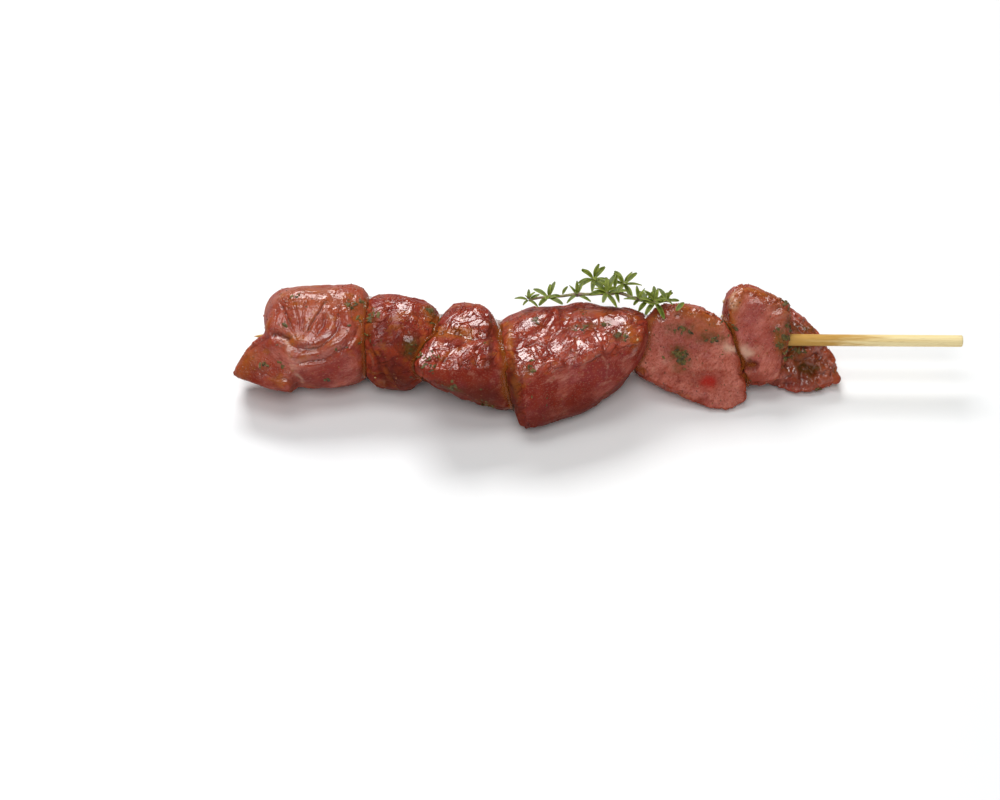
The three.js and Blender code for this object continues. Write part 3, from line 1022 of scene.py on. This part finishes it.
bm = bmesh.new()
for skin in skins.values():
    bm.from_mesh(skin.data)
all_skins = bpy.data.meshes.new("all_skins")
bm.to_mesh(all_skins)
bm.free()
marinade = rebuilt(new_object("marinade", all_skins), POOL_VOXEL, POOL_SMOOTHING)
mesh = marinade.data
points, normals = points_of(mesh), normals_of(mesh)
opening = sampled(opening_at, to_frame(points))
level = np.array([pool_level(*at) for at in zip(points[:, 0], opening)])
points += normals * level[:, None]
points[:, 2] = np.maximum(points[:, 2], TABLE + POOL_OVER_TABLE)
set_points(mesh, points)
depth = sampled(height_above_skin, to_frame(points))
store(mesh, {"depth": depth})
shade_smooth(mesh)
bm = bmesh.new()
bm.from_mesh(mesh)
buried = [face for face in bm.faces if all(depth[v.index] < POOL_BURIED for v in face.verts)]
bmesh.ops.delete(bm, geom=buried, context="FACES")
specks = [face for group in islands(bm) if len(group) < SMALLEST_POOL for face in group]
bmesh.ops.delete(bm, geom=specks, context="FACES")
bm.to_mesh(mesh)
bm.free()
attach(marinade, "root")
print("marinade", len(mesh.polygons), "faces; deepest", round(depth.max(), 2), "mm")

# %% [markdown]
# Oil stained by paprika is amber where it stands deep and clear where it thins out, so its edge fades into
# the meat. Its surface is almost as smooth as glass, with a slight unevenness from the spice in it.

# %% Oily marinade
THIN_OIL = (0.36, 0.095, 0.012, 1)
DEEP_OIL = (0.20, 0.045, 0.004, 1)
oil = Finish("oily_marinade")
murk = oil.cloud(oil.at, 0.8, 4)
oil.start(oil.between("depth", 0.1, 0.9), THIN_OIL, DEEP_OIL)
oil.lay(RED_FILM, oil.between(murk, 0.45, 0.7, 0.0, 0.6))
oil.settle(
    Alpha=oil.between(oil.sums("ADD", "depth", oil.times(murk, 0.2)), 0.1, 0.9, 0.0, 0.85),
    Roughness=oil.between(murk, 0.3, 0.7, 0.06, 0.16),
    Normal=oil.bump(oil.cloud(oil.at, 1.1, 2), 0.12),
    IOR=1.47,
    Specular_IOR_Level=0.2,
)
mesh.materials.append(oil.material)

# %% [markdown]
# The stick and the thyme's stems are tubes, and the leaves, flakes and grains are many small shapes of one
# kind. So one helper closes rings of points into a tube, and a `Heap` gathers shapes into a single piece.

# %% Tubes and heaps
def turns(count, first=0.0):
    """That many angles, evenly spread over one turn."""
    return [first + 2 * math.pi * number / count for number in range(count)]


def closed_tube(rings):
    """Points and faces of a closed tube through rings of points, all rings with the same count."""
    sides = len(rings[0])
    points = [point for ring in rings for point in ring]
    faces = []
    for row in range(0, len(points) - sides, sides):
        for side in range(sides):
            after = (side + 1) % sides
            faces.append((row + side, row + after, row + sides + after, row + sides + side))
    faces.append(tuple(reversed(range(sides))))
    faces.append(tuple(range(len(points) - sides, len(points))))
    return points, faces


class Heap:
    """Collects shapes, in millimetres from the stick's point, into one piece with measures on its points."""

    def __init__(self, *keys):
        self.points, self.faces = [], []
        self.measures = {key: [] for key in keys}

    def put(self, points, faces, **measures):
        total = len(self.points)
        self.points.extend(points)
        self.faces.extend(tuple(index + total for index in face) for face in faces)
        for key, values in measures.items():
            self.measures[key].extend(values)

    def piece(self, name, finish):
        mesh = bpy.data.meshes.new(name)
        mesh.from_pydata([tuple(place(*point)) for point in self.points], [], self.faces)
        store(mesh, {key: np.array(values) for key, values in self.measures.items()})
        shade_smooth(mesh)
        mesh.materials.append(finish.material)
        print(name, len(self.faces), "faces")
        return new_object(name, mesh)


print("tubes and heaps ready")

# %% [markdown]
# A cheap bamboo skewer is split from the culm and shaved round, so it is never a perfect rod: its flat
# strips run its whole length, the blunt end is sawn with a hair of a chamfer, and the point is cut short. A
# ready-made cylinder would look too even, so it is built as rings of points whose radius follows the strips.

# %% Bamboo stick
POINT_LENGTH = 9
CHAMFER = 0.18
RING_STEP = 1.5
RING_SIDES = 56
FIBRE_RIDGE = 0.012
STRIP_DEPTH = 0.035
SAWN_EDGE = math.radians(50)


def stick_radius(x):
    """The rod's radius in millimetres: a blunt point, a long body and a chamfered end."""
    point = STICK_RADIUS * min(1, (max(x, 0) / POINT_LENGTH) ** 0.8)
    end = STICK_RADIUS - max(0, x - (STICK_LENGTH - CHAMFER))
    return max(min(point, end), 0.05)


def shaved(x, angle):
    """How far shaving has left the rod from round at a place."""
    strips = Vector((math.cos(angle) * 1.2, math.sin(angle) * 1.2, x / 60))
    ridges = Vector((math.cos(angle) * 9, math.sin(angle) * 9, x / 25))
    return STRIP_DEPTH * noise.noise(strips) + FIBRE_RIDGE * noise.noise(ridges)


stations = [0, 0.15, 0.5, 1, 2, 3.5, 5, 7]
stations += list(np.arange(POINT_LENGTH, STICK_LENGTH - CHAMFER, RING_STEP))
stations += [STICK_LENGTH - 0.6, STICK_LENGTH - CHAMFER, STICK_LENGTH - CHAMFER / 2, STICK_LENGTH]
rings = []
for x in stations:
    rings.append([])
    for angle in turns(RING_SIDES):
        radius = stick_radius(x) * (1 + shaved(x, angle) / STICK_RADIUS)
        rings[-1].append((x, radius * math.cos(angle), radius * math.sin(angle)))
rod = Heap()
rod.put(*closed_tube(rings))
print("stick:", len(rod.faces), "faces")

# %% [markdown]
# Bamboo is straw-coloured with fine lengthwise fibres and a few darker dashes, and its sawn end shows the
# fibres as brown dots. Marinade has crept along it where it leaves the meat and stained it orange-yellow.

# %% Bamboo
STRAW = (0.90, 0.68, 0.295, 1)
PALE_STRAW = (0.94, 0.78, 0.42, 1)
BROWN_FIBRE = (0.50, 0.33, 0.12, 1)
STAINED = (0.54, 0.27, 0.03, 1)
MEAT_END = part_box("pork_piece_6")[1][0]
bamboo = Finish("bamboo")
grain = bamboo.effect(FIBRE_GRAIN, Stretch=(0.03, 1.6, 1.6), Low=0.35, High=0.65)
dashes = bamboo.effect(FIBRE_GRAIN, Stretch=(0.16, 4.5, 4.5), Low=0.60, High=0.72)
along = bamboo.add("ShaderNodeSeparateXYZ", {"Vector": bamboo.at}).outputs["X"]
past_meat = bamboo.sums("SUBTRACT", along, MEAT_END / MM)
wander = bamboo.between(bamboo.cloud(bamboo.stretched(bamboo.at, (0.1, 1, 1)), 1.0, 3), 0.3, 0.7, -7, 7)
creep = bamboo.sums("ADD", past_meat, wander)
bamboo.start(grain, STRAW, PALE_STRAW)
bamboo.lay(BROWN_FIBRE, dashes, 0.5)
bamboo.lay(STAINED, bamboo.between(creep, -6.0, 11.0, 0.9, 0.0))
normal = bamboo.add("ShaderNodeTexCoord").outputs["Normal"]
facing = bamboo.add("ShaderNodeSeparateXYZ", {"Vector": normal}).outputs["X"]
across_end = bamboo.stretched(bamboo.at, (0, 1, 1))
fibre_ends = bamboo.effect(SPECKS, Vector=across_end, Scale=3.2, Low=0.32, High=0.18)
bamboo.lay(bamboo.mix(fibre_ends, STRAW, BROWN_FIBRE), bamboo.between(facing, 0.8, 0.95))
bamboo.settle(
    Roughness=bamboo.between(grain, 0.0, 1.0, 0.5, 0.62),
    Normal=bamboo.bump(bamboo.sums("ADD", grain, dashes), 0.05),
    Specular_IOR_Level=0.4,
)
bamboo_rod = rod.piece("bamboo_rod", bamboo)
bamboo_rod.modifiers.new("sawn_edge", "EDGE_SPLIT").split_angle = SAWN_EDGE
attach(bamboo_rod, "root")
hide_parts("bamboo_stick")

# %% [markdown]
# Thyme has narrow leaves in pairs, with a tuft of younger ones in each fork, on a thin woody stem. A flat
# leaf would vanish when seen from its side, so each one is a closed blade: a grid of points on top and one
# below, with a groove along its middle and its edges rolled down.

# %% Shape of a thyme leaf
LEAF_STEPS = 9
LEAF_LANES = 7
LEAF_THICKNESS = 0.22
# Shares of a leaf's width or length
LEAF_ROLL = 0.16
LEAF_GROOVE = 0.14
LEAF_ARCH = 0.10
UP = Vector((0, 0, 1))


def frame_towards(direction):
    """Three directions at right angles: along a leaf, across it, and out of its upper face."""
    along = direction.normalized()
    across = UP.cross(along)
    across = across.normalized() if across.length > 1e-3 else along.orthogonal().normalized()
    return along, across, along.cross(across)


def leaf_blade(start, direction, length, width, droop, twist):
    """Points in millimetres, faces, and for each point how far across it lies and whether underneath."""
    along, across, face = frame_towards(direction)
    points, measures = [], []
    for under in (0, 1):
        for row in range(LEAF_STEPS):
            t = row / (LEAF_STEPS - 1)
            half = width / 2 * max(math.sin(math.pi * (0.05 + 0.90 * t)), 0.05) ** 0.6
            turned = twist * t
            side_way = across * math.cos(turned) + face * math.sin(turned)
            up_way = face * math.cos(turned) - across * math.sin(turned)
            arch = LEAF_ARCH * length * math.sin(math.pi * t) - droop * t * t
            middle = start + along * length * t + face * arch
            for lane in range(LEAF_LANES):
                s = lane / (LEAF_LANES - 1) * 2 - 1
                rolled = LEAF_ROLL * width * (1 - abs(s) ** 3)
                rolled -= LEAF_GROOVE * width * math.exp(-(s / 0.22) ** 2)
                blunt = 0.35 + 0.65 * math.sin(math.pi * min(t + 0.08, 1))
                rise = rolled - (LEAF_THICKNESS * (1 - 0.75 * s * s) * blunt if under else 0)
                points.append(middle + side_way * half * s + up_way * rise)
                measures.append((s, under))
    sheet = LEAF_STEPS * LEAF_LANES
    faces = []
    for a in (row * LEAF_LANES + lane for row in range(LEAF_STEPS - 1) for lane in range(LEAF_LANES - 1)):
        quad = (a, a + 1, a + LEAF_LANES + 1, a + LEAF_LANES)
        faces += [quad[::-1], tuple(index + sheet for index in quad)]
    last_row = sheet - LEAF_LANES
    rim = [*range(LEAF_LANES), *range(2 * LEAF_LANES - 1, sheet, LEAF_LANES)]
    rim += [*range(sheet - 2, last_row - 1, -1), *range(last_row - LEAF_LANES, 0, -LEAF_LANES)]
    faces += [(a, b, b + sheet, a + sheet)[::-1] for a, b in zip(rim, rim[1:] + rim[:1])]
    return points, faces, measures


print("a leaf has", LEAF_STEPS * LEAF_LANES * 2, "points")

# %% [markdown]
# A leaf is fresh green on top, darker along its middle groove, paler on its rolled edges and duller below.
# The stem is thin and purple-brown, with greener stretches.

# %% Thyme finishes
LEAF_GREEN = (0.15, 0.19, 0.016, 1)
LEAF_LIGHT = (0.32, 0.37, 0.055, 1)
LEAF_DARK = (0.06, 0.085, 0.006, 1)
LEAF_UNDER = (0.20, 0.24, 0.06, 1)
STEM_PURPLE = (0.26, 0.16, 0.12, 1)
STEM_GREEN = (0.28, 0.27, 0.10, 1)
leaf = Finish("thyme_leaf")
tones = leaf.effect(MOTTLE, Scale=0.7, Low=0.38, High=0.62)
side = leaf.sums("ABSOLUTE", "across")
leaf.start(tones, LEAF_GREEN, LEAF_LIGHT)
leaf.lay(LEAF_DARK, leaf.between("age", 0.2, 0.9, 0.0, 0.55))
leaf.lay(LEAF_DARK, leaf.between(side, 0.0, 0.38, 0.75, 0.0))
leaf.lay(LEAF_LIGHT, leaf.between(side, 0.68, 0.95, 0.0, 0.7))
leaf.lay(LEAF_DARK, leaf.effect(SPECKS, Scale=3.0, Low=0.22, High=0.12), 0.35)
leaf.lay(LEAF_UNDER, "under", 0.8)
leaf.settle(
    Roughness=leaf.between(tones, 0.0, 1.0, 0.42, 0.58), Normal=leaf.bump(leaf.cloud(leaf.at, 2.2, 3), 0.06),
    Specular_IOR_Level=0.35, Subsurface_Weight=0.15, Subsurface_Radius=(0.4, 0.6, 0.1),
    Subsurface_Scale=0.5 * MM,
)
stem = Finish("thyme_stem")
bark = stem.effect(FIBRE_GRAIN, Stretch=(1.2, 3, 3), Low=0.35, High=0.65)
stem.start(stem.effect(MOTTLE, Scale=0.35, Low=0.4, High=0.6), STEM_PURPLE, STEM_GREEN)
stem.lay(STEM_PURPLE, bark, 0.4)
stem.settle(Roughness=stem.between(bark, 0.0, 1.0, 0.55, 0.7), Normal=stem.bump(bark, 0.08))

# %% [markdown]
# The sprig lies over the fourth and fifth chunks. At every fork the older leaves spread outward in a ring
# and the younger ones stand up between them, each a little different.

# %% Thyme leaves
# Each fork or bud: its place, how many old leaves, their length, and the turn of the first.
FORKS = [
    ((86.3, 9.8, 11.5), 7, 4.8, 0.3), ((89.5, 4.8, 11.5), 7, 4.8, 0.9), ((93.9, 7.6, 12), 6, 4.7, 0.1),
    ((97.4, 2.4, 11.6), 5, 4.0, 0.6), ((101.5, 1.6, 11.6), 7, 4.9, 0.5), ((82, 4.4, 11.2), 4, 3.6, 0.9),
    ((74.8, 4, 10.7), 4, 4.0, 1.1), ((69.8, 3.6, 10.1), 5, 3.0, 0.4), ((91.4, 5.6, 11.9), 3, 4.4, 0.7),
    ((99.6, 2, 11.7), 3, 4.2, 0.1), ((104.4, 1.3, 12.4), 4, 3.4, 0.3), ((78.2, 4.2, 11), 2, 3.2, 0.2),
]
FALLEN_LEAF = (106.5, -2.2, 12.4)  # one that came off and lies on the fifth chunk
OLD, YOUNG = (1.0, -0.1, 0.5), (0.8, 0.6, 1.8)  # share of the length, least and greatest rise
chance = random.Random(31)
leaves = Heap("across", "under", "age")


def put_leaf(start, direction, length, width, droop, twist, age):
    points, faces, measures = leaf_blade(start, direction, length, width, droop, twist)
    across, under = zip(*measures)
    leaves.put(points, faces, across=across, under=under, age=[age] * len(points))


def fork_leaves(at, count, length, turn):
    """A tuft: older leaves spread low, younger ones nearly upright between them."""
    for ring, (share, low, high) in enumerate((OLD, YOUNG)):
        for angle in turns(count if ring == 0 else count // 2, turn + 0.5 * ring):
            angle += chance.uniform(-0.3, 0.3)
            direction = Vector((math.cos(angle), math.sin(angle), chance.uniform(low, high)))
            size = length * share * chance.uniform(0.8, 1.08)
            start = Vector(at) + direction.normalized() * 0.3 + Vector((0, 0, 0.25 * ring))
            droop, twist = chance.uniform(-0.2, 0.9), chance.uniform(-0.9, 0.9)
            put_leaf(start, direction, size, 0.22 * size + 0.3, droop, twist, 1 - 0.5 * ring)


for fork in FORKS:
    fork_leaves(*fork)
put_leaf(Vector(FALLEN_LEAF), Vector((0.7, 1, 0.1)), 3.6, 1.3, 0.3, 0.2, 1.0)
thyme_leaves = leaves.piece("thyme_leaves", leaf)
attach(thyme_leaves, "root")
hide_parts("thyme_sprig")

# %% [markdown]
# The stems are tubes along smooth curves through the forks, thicker at each fork and slightly crooked. Rings
# of points are used again, because a bevelled curve could not thicken at the forks so simply.

# %% Thyme stems
STEM_RADIUS = 0.42
STEM_SIDES = 10
STEPS_PER_RUN = 8
JOINT = (92.2, 5.2, 11.8)
STEM_RUNS = [
    (FORKS[0][0], FORKS[1][0], JOINT, FORKS[2][0]), (JOINT, FORKS[3][0], FORKS[4][0], (105, 1.1, 12.7)),
    (FORKS[1][0], FORKS[5][0], FORKS[6][0], FORKS[7][0]),
]


def smooth_route(places, steps):
    """Points on a Catmull-Rom curve through the places."""
    ends = [places[0] * 2 - places[1], *places, places[-1] * 2 - places[-2]]
    route = []
    for a, b, c, d in zip(ends, ends[1:], ends[2:], ends[3:]):
        for number in range(steps):
            t = number / steps
            route.append(0.5 * (2 * b + (c - a) * t + (2 * a - 5 * b + 4 * c - d) * t * t
                                + (3 * b - a - 3 * c + d) * t * t * t))
    return [*route, places[-1]]


stems = Heap()
for run in STEM_RUNS:
    route = smooth_route([Vector(at) for at in run], STEPS_PER_RUN)
    rings = []
    for number, middle in enumerate(route):
        ahead = route[min(number + 1, len(route) - 1)] - route[max(number - 1, 0)]
        _, across, face = frame_towards(ahead)
        middle = middle + noise.noise_vector(middle / 2.5) * 0.25
        at_fork = 1 - min(number % STEPS_PER_RUN, STEPS_PER_RUN - number % STEPS_PER_RUN) / 2
        radius = STEM_RADIUS * (1 - 0.3 * number / len(route) + 0.5 * max(at_fork, 0))
        rings.append([
            middle + (across * math.cos(angle) + face * math.sin(angle)) * radius
            for angle in turns(STEM_SIDES)
        ])
    stems.put(*closed_tube(rings))
thyme_stems = stems.piece("thyme_stems", stem)
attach(thyme_stems, "root")
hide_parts("thyme_sprig")

# %% [markdown]
# Dried herbs, ground spice and crushed garlic stick to the wet meat. Each bit is a real closed shape, so
# that it catches light and casts a shadow. A herb flake is a crumpled leaf scrap; a grain is a small rough
# lump.

# %% Shapes of flakes and grains
FLAKE_SIDES = 9
FLAKE_THICKNESS = 0.09
dice = random.Random(77)


def flake(length, width):
    """A crumpled scrap of dried leaf lying flat round its own middle, in millimetres."""
    fold = dice.uniform(0.15, 0.5) * width
    shift = Vector((dice.uniform(0, 50), dice.uniform(0, 50), 0))
    jags = [dice.uniform(0.62, 1.1) for _ in range(FLAKE_SIDES)]
    points = []
    for under in (0, 1):
        for share in (0.0, 0.55, 1.0):
            for side in range(FLAKE_SIDES if share else 1):
                angle = 2 * math.pi * side / FLAKE_SIDES
                reach = share * (jags[side] if share == 1.0 else 1)
                x, y = length / 2 * reach * math.cos(angle), width / 2 * reach * math.sin(angle)
                crumple = 0.22 * width * noise.noise(Vector((x, y, 0)) * 1.6 / width + shift)
                z = crumple - fold * (abs(y) / width) ** 1.3 - under * FLAKE_THICKNESS
                points.append(Vector((x, y, z)))
    below = 1 + 2 * FLAKE_SIDES
    faces = []
    for side in range(FLAKE_SIDES):
        a, b = 1 + side, 1 + (side + 1) % FLAKE_SIDES
        c, d = a + FLAKE_SIDES, b + FLAKE_SIDES
        faces += [
            (0, a, b), (a, c, d, b), (below, below + b, below + a),
            (below + b, below + d, below + c, below + a), (c, below + c, below + d, d),
        ]
    return points, faces


def lump(size, flatness, roughness):
    """A rough closed lump round its own middle, in millimetres."""
    ball = bmesh.new()
    bmesh.ops.create_icosphere(ball, subdivisions=1, radius=size / 2)
    narrow = dice.uniform(0.5, 0.9)
    points = [vert.co * dice.uniform(1 - roughness, 1 + roughness) for vert in ball.verts]
    for point in points:
        point.y *= narrow
        point.z *= flatness
    faces = [tuple(v.index for v in face.verts) for face in ball.faces]
    ball.free()
    return points, faces


print("a flake has", 2 + 4 * FLAKE_SIDES, "points")

# %% [markdown]
# The bits lie on the sculpted skin. A ray from outside finds the skin at a place along the stick and round
# it, and the bit is turned to lie in the skin there.

# %% Lay a bit on the skin
def skin_at(x, turn):
    """The place on the sculpted skin at x and turn, in millimetres, and its normal."""
    away = outward(turn)
    start = place(x, 0, 0) + away * FAR_OUT * MM
    hits = [surface.ray_cast(start, -away) for surface, _ in SKIN_SURFACES]
    hits = [hit for hit in hits if hit[0] is not None]
    if not hits:
        return None
    near, normal = min(hits, key=lambda hit: hit[3])[:2]
    return Vector(from_tip(np.array(near))), normal


def laid(points, at, normal, tilt, lift):
    """The shape's points turned to lie in the skin at a place."""
    lean = Vector([dice.gauss(0, tilt) for _ in range(3)])
    spin = Matrix.Rotation(dice.uniform(0, 6.28), 3, "Z")
    turned = (normal + lean).to_track_quat("Z", "Y").to_matrix() @ spin
    return [at + normal * lift + turned @ point for point in points]


print("bits can be laid")

# %% [markdown]
# Dried herb is dull olive-brown, darker where it is wet. Spice is ground paprika and pepper, from orange to
# nearly black. Garlic is yellowish white and lets light into it.

# %% Finishes of herbs, spice and garlic
DRY_HERB = (0.17, 0.122, 0.015, 1)
WET_HERB = (0.032, 0.022, 0.003, 1)
PAPRIKA = (0.40, 0.11, 0.012, 1)
PEPPER = (0.07, 0.022, 0.006, 1)
GARLIC = (0.72, 0.58, 0.34, 1)
GARLIC_OILED = (0.55, 0.32, 0.12, 1)


def small_bits(name, dark, light, roughness, coat, **more):
    """A finish for small bits: a mottle between two tones, shifted by each bit's own."""
    bit = Finish(name)
    tones = bit.effect(MOTTLE, Scale=1.3, Low=0.35, High=0.65)
    share = bit.sums("ADD", bit.times(tones, 0.5), bit.times("tone", 0.5))
    bit.start(share, dark, light)
    dents = bit.bump(tones, 0.08)
    bit.settle(Normal=dents, Roughness=roughness, Coat_Weight=coat, Coat_Roughness=0.15, **more)
    return bit


dried_herb = small_bits("dried_herb", WET_HERB, DRY_HERB, 0.6, 0.12)
ground_spice = small_bits("ground_spice", PEPPER, PAPRIKA, 0.5, 0.5)
garlic = small_bits(
    "garlic", GARLIC_OILED, GARLIC, 0.4, 0.5,
    Subsurface_Weight=0.3, Subsurface_Radius=(1.0, 0.7, 0.4), Subsurface_Scale=0.6 * MM,
)

# %% [markdown]
# The flakes lie in smears where the herbs were pressed on, with a few strays all over the meat. A smear is
# given by its place along the stick, its turn round it, how many flakes it has and how wide it spreads.

# %% Herb flakes
SMEARS = [
    (26, -2, 9, 1.6), (27.6, -7, 5, 1.2), (9.2, 29, 4, 0.9), (12, -7, 3, 1.0), (4, 82, 6, 1.2),
    (8.5, 78, 3, 0.8), (19.5, 98, 4, 1.0), (31, 17, 8, 1.4), (45, -2, 8, 1.6), (42, 58, 9, 1.8),
    (45.5, 62, 8, 1.5), (51, 82, 9, 1.5), (59, 100, 8, 1.5), (72, 20, 5, 1.0), (70, 64, 6, 1.0),
    (83, 29, 7, 1.6), (88.6, 23, 6, 1.2), (92.8, 40, 8, 1.3), (108, 26, 7, 1.5), (107.6, 78, 26, 1.7),
    (108.4, 88, 18, 1.5),
    (116, 45, 8, 1.6), (135, -14, 9, 1.8), (132.5, 20, 6, 1.2), (133.5, 60, 7, 1.2), (134.5, 110, 6, 1.2),
    (144, 148, 7, 1.3), (28.5, 20, 6, 2.0), (29.5, 50, 6, 2.0), (46.5, 20, 6, 1.6), (47, 60, 6, 1.6),
    (120, 10, 8, 1.8), (119.5, -10, 6, 1.6), (136, 8, 10, 1.6), (138.5, -6, 8, 1.5), (134.4, 38, 8, 1.2),
    (134.4, 84, 7, 1.2), (142, 120, 6, 1.2),
]
FLAKE_LENGTHS = 0.8, 2.2
FLAKE_WIDTHS = 0.35, 0.65  # share of the length
STRAY_FLAKES = 90
STRAY_LENGTHS = 0.4, 1.1
STRAY_PLACES, STRAY_TURNS = (-2, 146), (-110, 150)
DEGREES_PER_MM = 4  # how far round the stick one millimetre of skin goes
LOWEST_FLAKE = TABLE + 1.5
flakes = Heap("tone")


def put_flake(x, turn, size):
    found = skin_at(x, turn)
    if found is None or found[0].z < LOWEST_FLAKE:
        return
    points, faces = flake(size, size * dice.uniform(*FLAKE_WIDTHS))
    flakes.put(laid(points, *found, 0.22, 0.10), faces, tone=[dice.random()] * len(points))


for x, turn, count, spread in SMEARS:
    for _ in range(count):
        off_x, off_turn = (dice.gauss(0, spread * 0.6) for _ in range(2))
        put_flake(x + off_x, turn + off_turn * DEGREES_PER_MM, dice.uniform(*FLAKE_LENGTHS))
for _ in range(STRAY_FLAKES):
    put_flake(*(dice.uniform(*limits) for limits in (STRAY_PLACES, STRAY_TURNS, STRAY_LENGTHS)))
herb_flakes = flakes.piece("herb_flakes", dried_herb)
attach(herb_flakes, "root")

# %% [markdown]
# Spice collects where the skin is oily, so the grains are drawn from the skins' own points, oily ones more
# often. Garlic bits are few and lie where marinade has carried them.

# %% Spice grains and garlic
GRAINS_PER_CHUNK = 330
GRAIN_SIZES = 0.2, 0.5
# Each bit of garlic: its place along the stick, its turn round it, and its size.
GARLIC_BITS = [
    (63.4, 56, 0.6), (53, 41, 0.9), (55.5, 45, 0.9), (119.4, -58, 1.4),
    (119.8, -62, 1.1), (96.8, 45, 0.9), (31.5, 100, 0.7), (46.2, 30, 0.8), (121.2, 30, 0.8),
]
grains, bits = Heap("tone"), Heap("tone")
chooser = np.random.default_rng(5)
for skin in skins.values():
    mesh = skin.data
    points, normals = points_of(mesh), normals_of(mesh)
    oily = np.empty(len(points), dtype=np.float32)
    mesh.attributes["oil"].data.foreach_get("value", oily)
    weights = (0.25 + oily) * (points[:, 2] > TABLE + 1)
    chosen = chooser.choice(len(points), GRAINS_PER_CHUNK, replace=False, p=weights / weights.sum())
    for index in chosen.tolist():
        size = dice.uniform(*GRAIN_SIZES)
        shape, faces = lump(size, dice.uniform(0.5, 1.0), 0.2)
        spots = laid(shape, Vector(points[index]), Vector(normals[index]), 0.2, size * 0.1)
        grains.put(spots, faces, tone=[dice.random()] * len(spots))
for x, turn, size in GARLIC_BITS:
    shape, faces = lump(size, 0.5, 0.25)
    bits.put(laid(shape, *skin_at(x, turn), 0.2, 0.1), faces, tone=[dice.uniform(0.3, 1)] * len(shape))
for piece in (grains.piece("spice_grains", ground_spice), bits.piece("garlic_bits", garlic)):
    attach(piece, "root")

# %% [markdown]

# %% Finish
print("scene built")
